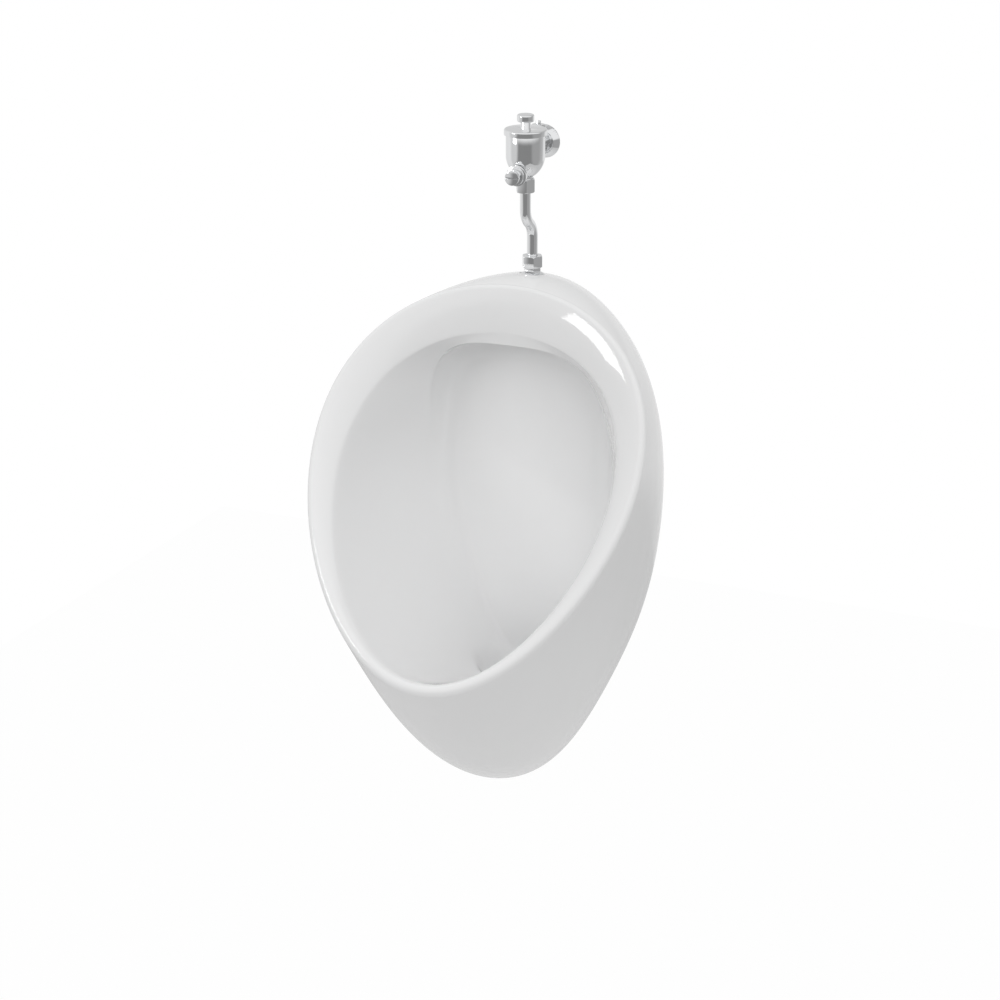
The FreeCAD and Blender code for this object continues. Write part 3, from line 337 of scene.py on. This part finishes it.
# %% Geometry trees
def geometry_bench(name, sizes):
    """A new geometry tree with one named input for each size."""
    tree = bpy.data.node_groups.new(name, "GeometryNodeTree")
    tree.interface.new_socket("Geometry", in_out="OUTPUT", socket_type="NodeSocketGeometry")
    for label in sizes:
        kind = "NodeSocketMaterial" if label == "Finish" else "NodeSocketFloat"
        tree.interface.new_socket(label, in_out="INPUT", socket_type=kind)
    bench = Bench(tree)
    given = bench.node("NodeGroupInput")
    return bench, {label: given.out(label) for label in sizes}


def close_tree(bench, shape, finish):
    real = bench.node("GeometryNodeRealizeInstances", values={"Geometry": shape})
    dressed = bench.node("GeometryNodeSetMaterial", values={"Geometry": real, "Material": finish})
    bench.node("NodeGroupOutput", values={"Geometry": dressed})
    return bench.tree


def settle(piece, modifier):
    """Keep what a modifier made as the piece's plain mesh."""
    bpy.context.view_layer.update()
    shape = bpy.data.meshes.new_from_object(piece.evaluated_get(bpy.context.evaluated_depsgraph_get()))
    piece.modifiers.remove(modifier)
    piece.data = shape


def grown(name, tree, sizes):
    """A plain mesh object from a geometry tree."""
    piece = bpy.data.objects.new(name, bpy.data.meshes.new(name + "_seed"))
    bpy.context.scene.collection.objects.link(piece)
    modifier = piece.modifiers.new("grow", "NODES")
    modifier.node_group = tree
    for socket in tree.interface.items_tree:
        if socket.in_out == "INPUT":
            modifier[socket.identifier] = sizes[socket.name]
    settle(piece, modifier)
    return piece


# %% Wall, rim and skirt
class Ring:
    """Where a column lies on its egg: to the side, up or down, and how low from 0 to 1."""

    def __init__(self, turn):
        self.side = turn.math("SINE")
        self.lean = turn.math("COSINE")
        self.low = (1.0 - self.lean) * 0.5


class Rim:
    """The leaning egg of the rim, with the ways out from it and out of its plane."""

    def __init__(self, at, ring):
        back_run = at["Lip out"] - at["Rim top out"]
        rise = at["Rim top height"] - at["Lip height"]
        length = (back_run * back_run + rise * rise).math("SQRT")
        reach = length * 0.5
        up = Spot(0.0, back_run / length, rise / length)
        middle = Spot(0.0, (at["Lip out"] + at["Rim top out"]) * -0.5,
                      (at["Lip height"] + at["Rim top height"]) * 0.5)
        egg = 1.0 + at["Rim egg share"] * ring.lean
        across = ring.side / at["Rim half width"]
        along = ring.lean / reach
        scale = 1.0 / (across * across + along * along).math("SQRT")
        self.normal = Spot(0.0, -up.z, up.y)
        self.outward = Spot(across * scale, up.y * (along * scale), up.z * (along * scale))
        self.edge = middle + Spot(at["Rim half width"] * ring.side * egg, 0.0, 0.0) + up * (reach * ring.lean)
        self.radius = mix(at["Top roll"], at["Foot roll"], ring.low)
        set_back = self.normal * (self.radius * at["Roll back share"])
        self.centre = self.edge - self.outward * self.radius - set_back

    def roll(self, angle):
        """The rounded edge: 0 on the skirt side, a right angle on the crest."""
        if isinstance(angle, float):
            ahead, out = math.cos(angle), math.sin(angle)
        else:
            ahead, out = angle.math("COSINE"), angle.math("SINE")
        return self.centre + self.outward * (self.radius * ahead) + self.normal * (self.radius * out)


def wall_egg(at, ring):
    """Middle and edge of the egg on the wall."""
    middle = (at["Wall top"] - at["Wall foot"]) * 0.5
    reach = (at["Wall top"] + at["Wall foot"]) * 0.5
    egg = 1.0 + at["Wall egg share"] * ring.lean + at["Wall full share"] * ring.side * ring.side * ring.low
    edge = Spot(at["Wall half width"] * ring.side * egg, 0.0, middle + reach * ring.lean)
    return Spot(0.0, 0.0, middle), edge


def skirt_pull(at, ring, wall, skirt_end):
    """What the skirt's curve leans towards, with the belly under the lip."""
    belly = ring.low ** at["Belly power share"]
    crown = (1.0 - ring.low) ** at["Crown power share"]
    swell = mix(at["Skirt swell"], at["Crown swell"], crown) + at["Belly drop"] * belly
    between = mix(wall, skirt_end, 0.5 - at["Belly pull share"] * belly)
    return between + Spot(ring.side * swell, 0.0, ring.lean * swell)


# %% Funnel and bowl
def funnel_curve(at, ring, rim):
    """Start and pull of the funnel, and the crease where it ends."""
    high = (1.0 - ring.low) ** at["Crease power share"]
    inset = mix(at["Crease foot inset"], at["Crease top inset"], high)
    depth = mix(at["Crease foot depth"], at["Crease top depth"], high)
    crease = rim.edge - rim.outward * inset - rim.normal * depth
    start = rim.roll(ROLL_END)
    width = inset - rim.radius * (1.0 - math.cos(ROLL_END))
    way = rim.normal * math.cos(ROLL_END) - rim.outward * math.sin(ROLL_END)
    return start, start + way * (width * at["Funnel swell share"]), crease


def back_middle(at):
    return Spot(0.0, -at["Bowl back out"], (at["Bowl top"] + at["Bowl foot"]) * 0.5)


def plain_bowl(at, ring, crease, share):
    """From the crease down to the floor and flush into the back, and the back's edge."""
    middle = back_middle(at)
    reach = (at["Bowl top"] - at["Bowl foot"]) * 0.5
    egg = 1.0 + at["Bowl egg share"] * ring.lean
    back = Spot(at["Bowl half width"] * ring.side * egg, middle.y, middle.z + reach * ring.lean)
    drop = at["Bowl floor drop"] * ring.low ** at["Bowl floor power share"]
    pull = Spot((crease.x + back.x) * 0.5, back.y, (crease.z + back.z) * 0.5 - drop)
    flush_pull = mix(pull, back, 0.5)
    run = mix(bezier(crease, pull, flush_pull, share), bezier(pull, flush_pull, back, share), share)
    return run, back


def hooded_bowl(bench, at, ring, crease, share):
    """Under the hood: a brow to a flat-topped arch and a cove to the back, and the cove's end."""
    power = 2.0 / at["Niche square share"]
    upper = ring.lean.math("MAXIMUM", 0.0)
    arch_x = at["Niche half width"] * ring.side.math("SIGN") * (ring.side.math("ABSOLUTE") ** power)
    arch_z = at["Niche middle"] + (at["Niche top"] - at["Niche middle"]) * (upper ** power)
    brow = Spot(arch_x, -mix(at["Niche side out"], at["Niche top out"], upper), arch_z)
    corner = Spot(arch_x, -at["Bowl back out"], arch_z)
    cove_end = mix(back_middle(at), corner, at["Niche cove share"])
    to_brow = clamped(bench, share * 2.0)
    to_back = clamped(bench, share * 2.0 - 1.0)
    run = mix(crease, brow, to_brow) + bezier(brow, corner, cove_end, to_back) - brow
    return run, cove_end


def dished(bench, at, ring, bowl):
    """The bowl with a dish sunk round the drain."""
    from_drain = bowl.y + at["Drain out"]
    away = (bowl.x * bowl.x + from_drain * from_drain).math("SQRT")
    floor = ring.low ** at["Bowl floor power share"]
    dip = at["Dip depth"] * floor * step(bench, (at["Dip radius"] - away) / at["Dip run"])
    return Spot(bowl.x, bowl.y, (bowl.z - dip).math("MAXIMUM", at["Dip foot"]))


# %% The ceramic's tree
def ceramic_place(bench, at):
    """Where each point of the flat grid goes, in millimetres."""
    flat = bench.node("ShaderNodeSeparateXYZ", values={0: bench.node("GeometryNodeInputPosition")})
    ring = Ring((flat.out("X") + TURN_START) * (2 * math.pi))
    row = (flat.out("Y") + 0.5) * ROWS
    share = {label: clamped(bench, (row - start) / STRETCHES[label]) for label, start in STARTS.items()}
    centre, wall = wall_egg(at, ring)
    rim = Rim(at, ring)
    skirt_end = rim.roll(ROLL_START)
    swollen = skirt_pull(at, ring, wall, skirt_end)
    funnel_start, funnel_pull, crease = funnel_curve(at, ring, rim)
    plain, back = plain_bowl(at, ring, crease, share["bowl"])
    niche, cove_end = hooded_bowl(bench, at, ring, crease, share["bowl"])
    hooded = step(bench, ring.lean / at["Niche ease share"])
    place = mix(centre, wall, 1.0 - (1.0 - share["wall"]) ** WALL_CROWDING)
    runs = {
        "skirt": bezier(wall, swollen, skirt_end, share["skirt"] ** SKIRT_CROWDING),
        "roll": rim.roll(share["roll"] * (ROLL_END - ROLL_START) + ROLL_START),
        "funnel": bezier(funnel_start, funnel_pull, crease, share["funnel"]),
        "bowl": dished(bench, at, ring, mix(plain, niche, hooded)),
        "back": mix(mix(back, cove_end, hooded), back_middle(at), share["back"]),
    }
    for label, run in runs.items():
        place = mix(place, run, row.math("GREATER_THAN", STARTS[label] + ROW_MARGIN))
    return place


def ceramic_tree(sizes):
    bench, at = geometry_bench("ceramic_form", sizes)
    grid = bench.node("GeometryNodeMeshGrid", values={
        "Size X": 1.0, "Size Y": 1.0, "Vertices X": COLUMNS + 1, "Vertices Y": ROWS + 1})
    place = ceramic_place(bench, at) * MM
    metres = bench.node("ShaderNodeCombineXYZ", values={"X": place.x, "Y": place.y, "Z": place.z})
    bent = bench.node("GeometryNodeSetPosition", values={"Geometry": grid, "Position": metres})
    closed = bench.node("GeometryNodeMergeByDistance", values={"Geometry": bent, "Distance": SEAM_GAP * MM})
    eased = bench.node("GeometryNodeBlurAttribute", {"data_type": "FLOAT_VECTOR"}, {
        "Value": bench.node("GeometryNodeInputPosition"), "Iterations": BLUR_ROUNDS})
    rounded = bench.node("GeometryNodeSetPosition", values={"Geometry": closed, "Position": eased})
    return close_tree(bench, rounded, at["Finish"])


ceramic_sizes = dict(CERAMIC, Finish=FINISHES["glaze"])
ceramic = grown("glazed_ceramic", ceramic_tree(ceramic_sizes), ceramic_sizes)
print("ceramic grid:", len(ceramic.data.vertices), "points,", len(ceramic.data.polygons), "faces")

# %% [markdown]
# ## Holes in the ceramic
# The casting is pierced for the flush water, the drain and the waste outlet, and its back is hollowed
# so that only an edge and a boss touch the wall. Holes that cross a curved surface can't follow its
# grid lines, so turned and boxed cutters are taken away from the bent grid, one after the other.

# %% Sizes of the holes in millimetres, a round one in steps of radius, start and end
RECESS_INSET, RECESS_DEPTH, RECESS_START = 24, 12, 5
WASTE_BOSS = [(76, -10, 20)]
GASKET_SEAT = [(40, -5, 8), (25, 8, 36)]
SPUD_OUT, SPUD_HOLE = 34, [(11, 416, 498), (15, 498, 506)]
DRAIN_OUT, DRAIN_WELL = CERAMIC["Drain out"], [(24, -4, 6), (32, 6, 60)]
TRAP_LEG = [(18, -83, 0)]
SPREADER_LOW, SPREADER_HIGH = (-46, -60, 420), (46, -24, 436)
HOOK_MIDDLE, HOOK_HALF_WIDTH, HOOK_REACH = 75, 22, 30
HOOK_POCKETS = {"hook_entry": (7, 378, 392), "hook_above": (21.5, 387, 408)}
ROUND_SIDES, EGG_SIDES = 64, 120
CUTTER_SEAM = 0.001


# %% Cutters
def as_object(name, shape):
    mesh = bpy.data.meshes.new(name)
    shape.to_mesh(mesh)
    shape.free()
    piece = bpy.data.objects.new(name, mesh)
    bpy.context.scene.collection.objects.link(piece)
    return piece


def plug(steps):
    """Closed body turned about Z, in steps of radius, start and end."""
    profile = [(0, steps[0][1])]
    for radius, start, end in steps:
        profile += [(radius, start), (radius, end)]
    profile.append((0, steps[-1][2]))
    shape = bmesh.new()
    points = [shape.verts.new((radius * MM, 0.0, height * MM)) for radius, height in profile]
    edges = [shape.edges.new(pair) for pair in zip(points, points[1:])]
    bmesh.ops.spin(shape, geom=points + edges, cent=(0, 0, 0), axis=(0, 0, 1),
                   angle=2 * math.pi, steps=ROUND_SIDES)
    bmesh.ops.remove_doubles(shape, verts=shape.verts, dist=CUTTER_SEAM * MM)
    bmesh.ops.recalc_face_normals(shape, faces=shape.faces)
    return shape


def moved(shape, place=(0, 0, 0), forward=False):
    """Turn a plug to point along -Y if asked, then set it at a place."""
    for point in shape.verts:
        x, y, z = point.co
        spot = Vector((x, -z, y)) if forward else Vector((x, y, z))
        point.co = spot + Vector(place) * MM
    bmesh.ops.recalc_face_normals(shape, faces=shape.faces)
    return shape


def brick(low, high):
    """Box between two corners."""
    shape = bmesh.new()
    bmesh.ops.create_cube(shape, size=1.0)
    for point in shape.verts:
        point.co = Vector([mix(a, b, share + 0.5) * MM for a, b, share in zip(low, high, point.co)])
    return shape


def egg_block(inset, depth):
    """The wall outline drawn in and pushed into the back."""
    size = CERAMIC
    middle = (size["Wall top"] - size["Wall foot"]) / 2
    reach = (size["Wall top"] + size["Wall foot"]) / 2
    shape = bmesh.new()
    outline = []
    for number in range(EGG_SIDES):
        turn = 2 * math.pi * number / EGG_SIDES
        side, lean = math.sin(turn), math.cos(turn)
        egg = 1 + size["Wall egg share"] * lean + size["Wall full share"] * side * side * (1 - lean) / 2
        wide = size["Wall half width"] * side * egg * (1 - inset / size["Wall half width"])
        height = middle + (reach - inset) * lean
        outline.append(shape.verts.new((wide * MM, RECESS_START * MM, height * MM)))
    face = shape.faces.new(outline)
    pushed = bmesh.ops.extrude_face_region(shape, geom=[face])["geom"]
    for point in (item for item in pushed if isinstance(item, bmesh.types.BMVert)):
        point.co.y = -depth * MM
    bmesh.ops.recalc_face_normals(shape, faces=shape.faces)
    return shape


def cut_away(piece, cutters):
    """Take the cutters from a piece, one after the other."""
    for cutter in cutters:
        trim = piece.modifiers.new("trim", "BOOLEAN")
        trim.object = cutter
        trim.solver = "MANIFOLD"
        settle(piece, trim)
        bpy.data.objects.remove(cutter)


def faced_outwards(piece):
    shape = bmesh.new()
    shape.from_mesh(piece.data)
    bmesh.ops.recalc_face_normals(shape, faces=shape.faces)
    shape.to_mesh(piece.data)
    shape.free()


def smoothed(piece, degrees):
    """Smooth shading that keeps edges sharper than an angle."""
    piece.data.shade_smooth()
    piece.data.set_sharp_from_angle(angle=math.radians(degrees))


# %% Pierce the ceramic
CERAMIC_SHARP = 62
faced_outwards(ceramic)
recess = as_object("recess", egg_block(RECESS_INSET, RECESS_DEPTH))
cut_away(recess, [as_object("boss", moved(plug(WASTE_BOSS), forward=True))])
cutters = [
    recess,
    as_object("spud_hole", moved(plug(SPUD_HOLE), (0, -SPUD_OUT, 0))),
    as_object("spreader_slot", brick(SPREADER_LOW, SPREADER_HIGH)),
    as_object("drain_well", moved(plug(DRAIN_WELL), (0, -DRAIN_OUT, 0))),
    as_object("trap_leg", moved(plug(TRAP_LEG), (0, -DRAIN_OUT, 0))),
    as_object("gasket_seat", moved(plug(GASKET_SEAT), forward=True)),
]
for middle_x in (-HOOK_MIDDLE, HOOK_MIDDLE):
    for name, (out, foot, top) in HOOK_POCKETS.items():
        low = (middle_x - HOOK_HALF_WIDTH, -HOOK_REACH, foot)
        high = (middle_x + HOOK_HALF_WIDTH, -out, top)
        cutters.append(as_object(name, brick(low, high)))
cut_away(ceramic, cutters)
smoothed(ceramic, CERAMIC_SHARP)
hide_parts("ceramic_body")
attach(ceramic, "fixture")
print("pierced ceramic:", len(ceramic.data.polygons), "faces")

# %% [markdown]
# ## Metal pieces
# The valve, pipe, nuts and flanges have the right shapes as solids, but their edges are knife sharp
# and polished metal shows an edge by the light it catches. Drawing them again would only repeat the
# solids, so each visible piece is a copy of its solid with merged points, flat faces joined, a narrow
# bevel on its edges and smooth shading. The strainer, hooks and waste gasket are made the same way.

# %% Slots, bodies and widths of the rounded edges in millimetres
SLOT_OF = {part["node"]: part["material_slot"] for part in frame["record"]["subparts"]}
BODY_OF = {node: body for body, nodes in frame["record"]["behaviour"]["bodies"].items() for node in nodes}
EDGES = {
    "valve_body": 0.5, "valve_cap": 0.4, "push_knob": 0.5, "push_rod": 0.2,
    "flow_screw": 0.4, "flow_gland_nut": 0.4, "stop_spindle": 0.25, "stop_gland_nut": 0.3,
    "outlet_union_nut": 0.4, "flush_pipe": 0.3, "flush_pipe_nut": 0.4,
    "spud_lock_nut": 0.3, "spud_flange": 0.3, "wall_flange": 0.3, "drain_strainer": 0.25,
    "outlet_gasket": 0.8, "wall_hook_left": 0.5, "wall_hook_right": 0.5,
}
EDGE_SEGMENTS = 2
MERGE_GAP = 0.002
FLAT_DEGREES, EDGE_DEGREES, METAL_SHARP = 0.6, 38, 30


# %% Edge-rounded copies
def dress(piece, slot):
    """Give a piece the finish of a slot and no other."""
    piece.data.materials.clear()
    piece.data.materials.append(FINISHES[slot])


def merged(node):
    """A solid's loose triangles, joined where their points meet."""
    shape = bmesh.new()
    shape.from_mesh(frame["nodes"][node].data)
    bmesh.ops.remove_doubles(shape, verts=shape.verts, dist=MERGE_GAP * MM)
    return shape


def eased_copy(node, edge):
    """A copy of a solid with rounded edges, which stands for it."""
    shape = merged(node)
    bmesh.ops.dissolve_limit(shape, angle_limit=math.radians(FLAT_DEGREES),
                             verts=shape.verts, edges=shape.edges)
    piece = as_object(node + "_finish", shape)
    dress(piece, SLOT_OF[node])
    bevel = piece.modifiers.new("edge", "BEVEL")
    bevel.width = edge * MM
    bevel.segments = EDGE_SEGMENTS
    bevel.limit_method = "ANGLE"
    bevel.angle_limit = math.radians(EDGE_DEGREES)
    bevel.use_clamp_overlap = True
    settle(piece, bevel)
    smoothed(piece, METAL_SHARP)
    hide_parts(node)
    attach(piece, BODY_OF[node])
    return piece


for node, edge in EDGES.items():
    made = eased_copy(node, edge)
    print(made.name, len(made.data.polygons), "faces")

# %% Finishes on the solids that stay
for node, slot in SLOT_OF.items():
    dress(frame["nodes"][node], slot)
print("dressed", len(SLOT_OF), "solids")

# %% [markdown]
# ## The relief spring
# A small spring in the piston gets shorter when the relief pin goes down. A stiff copy would sink into
# the piston; the coil here is such a copy, merged, smooth shaded and set on its body, and it does not
# shorten.

# %% Spring copy, smooth shaded
WIRE_SHARP = 40


def shortening_coil(node, joint):
    low, high = (Vector(corner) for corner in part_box(node))
    coil = as_object(node + "_finish", merged(node))
    dress(coil, SLOT_OF[node])
    smoothed(coil, WIRE_SHARP)
    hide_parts(node)
    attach(coil, BODY_OF[node])
    joints = frame["record"]["behaviour"]["joints"]
    travel = max(row["range_m"][1] for row in joints if row["name"] == joint)
    1.0 - travel / (high.z - low.z)
    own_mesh(coil)
    return coil


relief_coil = shortening_coil("relief_spring", "relief_open")
print("spring:", len(relief_coil.data.polygons), "faces")

# %% [markdown]
# ## Screw thread on the inlet
# Behind the wall the valve ends in a half-inch thread. A thread is a ridge that climbs round a
# cylinder, so a small four-sided profile is swept along a spiral.

# %% Thread, in millimetres and turns
THREAD = {"Root radius": 10.15, "Crest": 0.55, "Pitch": 1.8, "Turns": 6.6, "Start": 2.0, "Height": 650.0}
TURN_POINTS, RIDGE_SIDES = 48, 4


def thread_tree(sizes):
    bench, at = geometry_bench("inlet_thread", sizes)
    spiral = bench.node("GeometryNodeCurveSpiral", values={
        "Resolution": TURN_POINTS, "Rotations": at["Turns"], "Start Radius": at["Root radius"] * MM,
        "End Radius": at["Root radius"] * MM, "Height": at["Turns"] * at["Pitch"] * MM})
    ridge = bench.node("GeometryNodeCurvePrimitiveCircle", values={
        "Resolution": RIDGE_SIDES, "Radius": at["Crest"] * MM})
    swept = bench.node("GeometryNodeCurveToMesh", values={
        "Curve": spiral, "Profile Curve": ridge, "Fill Caps": True})
    place = bench.node("ShaderNodeCombineXYZ", values={
        "X": 0.0, "Y": at["Start"] * MM, "Z": at["Height"] * MM})
    set_in = bench.node("GeometryNodeTransform", values={
        "Geometry": swept, "Translation": place, "Rotation": (math.radians(-90), 0.0, 0.0)})
    return close_tree(bench, set_in, at["Finish"])


thread_sizes = dict(THREAD, Finish=FINISHES["chrome"])
thread = grown("inlet_thread_ridge", thread_tree(thread_sizes), thread_sizes)
smoothed(thread, METAL_SHARP)
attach(thread, "fixture")
print("thread:", len(thread.data.polygons), "faces")

# %% [markdown]
# ## Camera, light and ground
# The photo was taken from the front right and a little above. A soft lamp stands at the front left
# and makes the one bright patch on the rim, and a soft world fills the rest. The camera sees that
# world as white. A mirror sees a grey room with a pale backdrop and a bright panel over the front,
# because chrome in a white room would look like white paint. The floor is white in the same way.

# %% Camera, in degrees, millimetres of film and metres
AZIMUTH, ELEVATION = math.radians(24.0), math.radians(19.8)
LENS, FILM_WIDTH = 95.9, 36.0
CAMERA_PLACE = Vector((1.1983, -2.8185, 1.3075))
DIFFUSE_BOUNCES = 10


def aimed(thing, place, toward):
    thing.location = place
    thing.rotation_euler = (Vector(toward) - Vector(place)).to_track_quat("-Z", "Y").to_euler()


back_way = Vector((math.sin(AZIMUTH) * math.cos(ELEVATION),
                   -math.cos(AZIMUTH) * math.cos(ELEVATION),
                   math.sin(ELEVATION)))
lens = bpy.data.cameras.new("photo_view")
lens.lens = LENS
lens.sensor_width = FILM_WIDTH
camera = bpy.data.objects.new("photo_view", lens)
bpy.context.scene.collection.objects.link(camera)
aimed(camera, CAMERA_PLACE, CAMERA_PLACE - back_way)
bpy.context.scene.camera = camera
bpy.context.scene.view_settings.view_transform = "Standard"
bpy.context.scene.cycles.diffuse_bounces = DIFFUSE_BOUNCES
print("camera at", tuple(CAMERA_PLACE))

# %% Lamp, in metres and watts
SOFTBOX_PLACE, SOFTBOX_AIM = (-1.30, -1.48, 0.86), (0.1, -0.11, 0.46)
SOFTBOX_WIDTH, SOFTBOX_HEIGHT, SOFTBOX_WATTS = 0.6, 0.36, 5.4


def key_softbox():
    lamp = bpy.data.lights.new("key_softbox", "AREA")
    lamp.shape = "RECTANGLE"
    lamp.size = SOFTBOX_WIDTH
    lamp.size_y = SOFTBOX_HEIGHT
    lamp.energy = SOFTBOX_WATTS
    holder = bpy.data.objects.new("key_softbox", lamp)
    bpy.context.scene.collection.objects.link(holder)
    holder.visible_camera = False
    aimed(holder, SOFTBOX_PLACE, SOFTBOX_AIM)


key_softbox()
print("lamp of", SOFTBOX_WATTS, "watts set")

# %% Levels of the world, where 1 is white
WIDE, NARROW = 1.0, 8.0
FILL_LIGHTS = [
    (0.22, (-1.0, 0.0, 0.0), WIDE),
    (0.2, (1.0, 0.0, 0.0), WIDE),
    (0.4, (0.0, 1.0, 0.0), WIDE),
    (0.82, (0.0, 0.0, 1.0), WIDE),
    (0.25, (0.0, 0.0, -1.0), WIDE),
    (1.2, back_way, NARROW),
    (0.42, (0.1, -0.72, 0.69), NARROW),
    (0.15, (0.75, -0.64, 0.17), NARROW),
]
ROOM, ROOM_LEFT, ROOM_RIGHT = 0.26, 0.42, 0.12
BACKDROP, BACKDROP_FALL, BACKDROP_FOOT = 0.68, 0.2, 0.84
PANEL = 0.95


# %% World
def grey(bench, level):
    return bench.node("ShaderNodeCombineColor", values={"Red": level, "Green": level, "Blue": level})


def mirror_level(bench, x, y, z):
    """What a mirror sees: a grey room, a backdrop behind the object and a panel over the front."""
    ahead = x * math.sin(AZIMUTH) - y * math.cos(AZIMUTH)
    flank = x * math.cos(AZIMUTH) + y * math.sin(AZIMUTH)
    left = step(bench, flank, -0.62, -0.85)
    right = step(bench, flank, 0.45, 0.7)
    room = ROOM + ROOM_LEFT * left + ROOM_RIGHT * right
    foot = step(bench, ahead, -0.35, -0.65) * step(bench, z, -0.42, -0.3) * step(bench, z, 0.2, 0.0)
    backdrop = mix(BACKDROP - BACKDROP_FALL * flank, BACKDROP_FOOT, foot)
    behind = step(bench, ahead, 0.15, -0.3)
    over_front = step(bench, z, 0.0, 0.2) * step(bench, ahead, -0.1, 0.2)
    return mix(mix(room, backdrop, behind), PANEL, over_front)


def studio_world():
    world = bpy.data.worlds.new("studio")
    bpy.context.scene.world = world
    world.use_nodes = True
    world.node_tree.nodes.clear()
    bench = Bench(world.node_tree)
    way = bench.node("ShaderNodeTexCoord", output="Generated")
    spread = bench.node("ShaderNodeSeparateXYZ", values={0: way})
    x, y, z = spread.out("X"), spread.out("Y"), spread.out("Z")

    def lobe(toward, power):
        """Light that comes from one direction, narrower with a higher power."""
        return (x * toward[0] + y * toward[1] + z * toward[2]).math("MAXIMUM", 0.0) ** power

    fill = sum(level * lobe(toward, power) for level, toward, power in FILL_LIGHTS)
    seen = bench.node("ShaderNodeLightPath")
    level = mix(fill, mirror_level(bench, x, y, z), seen.out("Is Glossy Ray"))
    clear = seen.out("Is Camera Ray").math("MAXIMUM", seen.out("Is Transmission Ray"))
    shade = grey(bench, mix(level, 1.0, clear))
    sky = bench.node("ShaderNodeBackground", values={"Color": shade, "Strength": 1.0})
    bench.node("ShaderNodeOutputWorld", values={"Surface": sky})


studio_world()
print("world with", len(FILL_LIGHTS), "fill lights set")

# %% Ground, in metres, and its levels
FLOOR_HALF, FLOOR_FRONT, FLOOR_HEIGHT = 1.5, -1.2, -0.62
FLOOR_NEAR, FLOOR_FAR = 0.3, 1.4
DIM_NEAR, DIM_MORE_FAR = 0.25, 0.17
FLOOR_TONE, FLOOR_CLEAR = 0.8, 0.97


def floor_finish():
    """White to the camera, dimmer to a mirror, and plain to light, so that it keeps the shadow."""
    finish, bench = new_finish("pale_floor")
    seen = bench.node("ShaderNodeLightPath")
    mirrored = seen.out("Is Glossy Ray")
    position = bench.node("ShaderNodeNewGeometry", output="Position")
    place = bench.node("ShaderNodeSeparateXYZ", values={0: position})
    away = (place.out("X") ** 2.0 + place.out("Y") ** 2.0).math("SQRT")
    level = 1.0 - (DIM_NEAR + DIM_MORE_FAR * step(bench, away, FLOOR_NEAR, FLOOR_FAR)) * mirrored
    plain = bench.node("ShaderNodeBsdfDiffuse", values={"Color": (FLOOR_TONE, FLOOR_TONE, FLOOR_TONE, 1.0)})
    white = bench.node("ShaderNodeEmission", values={"Color": grey(bench, level), "Strength": 1.0})
    clear = seen.out("Is Camera Ray").math("MAXIMUM", mirrored)
    clear = clear.math("MAXIMUM", seen.out("Is Transmission Ray"))
    ground = bench.node("ShaderNodeMixShader", values={0: clear * FLOOR_CLEAR, 1: plain, 2: white})
    bench.node("ShaderNodeOutputMaterial", values={"Surface": ground})
    return finish


def pale_floor():
    shape = bmesh.new()
    bmesh.ops.create_grid(shape, x_segments=1, y_segments=1, size=FLOOR_HALF)
    floor = as_object("floor", shape)
    floor.data.materials.append(floor_finish())
    floor.data.transform(Matrix.Translation((0, FLOOR_HALF + FLOOR_FRONT, FLOOR_HEIGHT)))
    return floor


pale_floor()
print("floor of", 2 * FLOOR_HALF, "metres set")
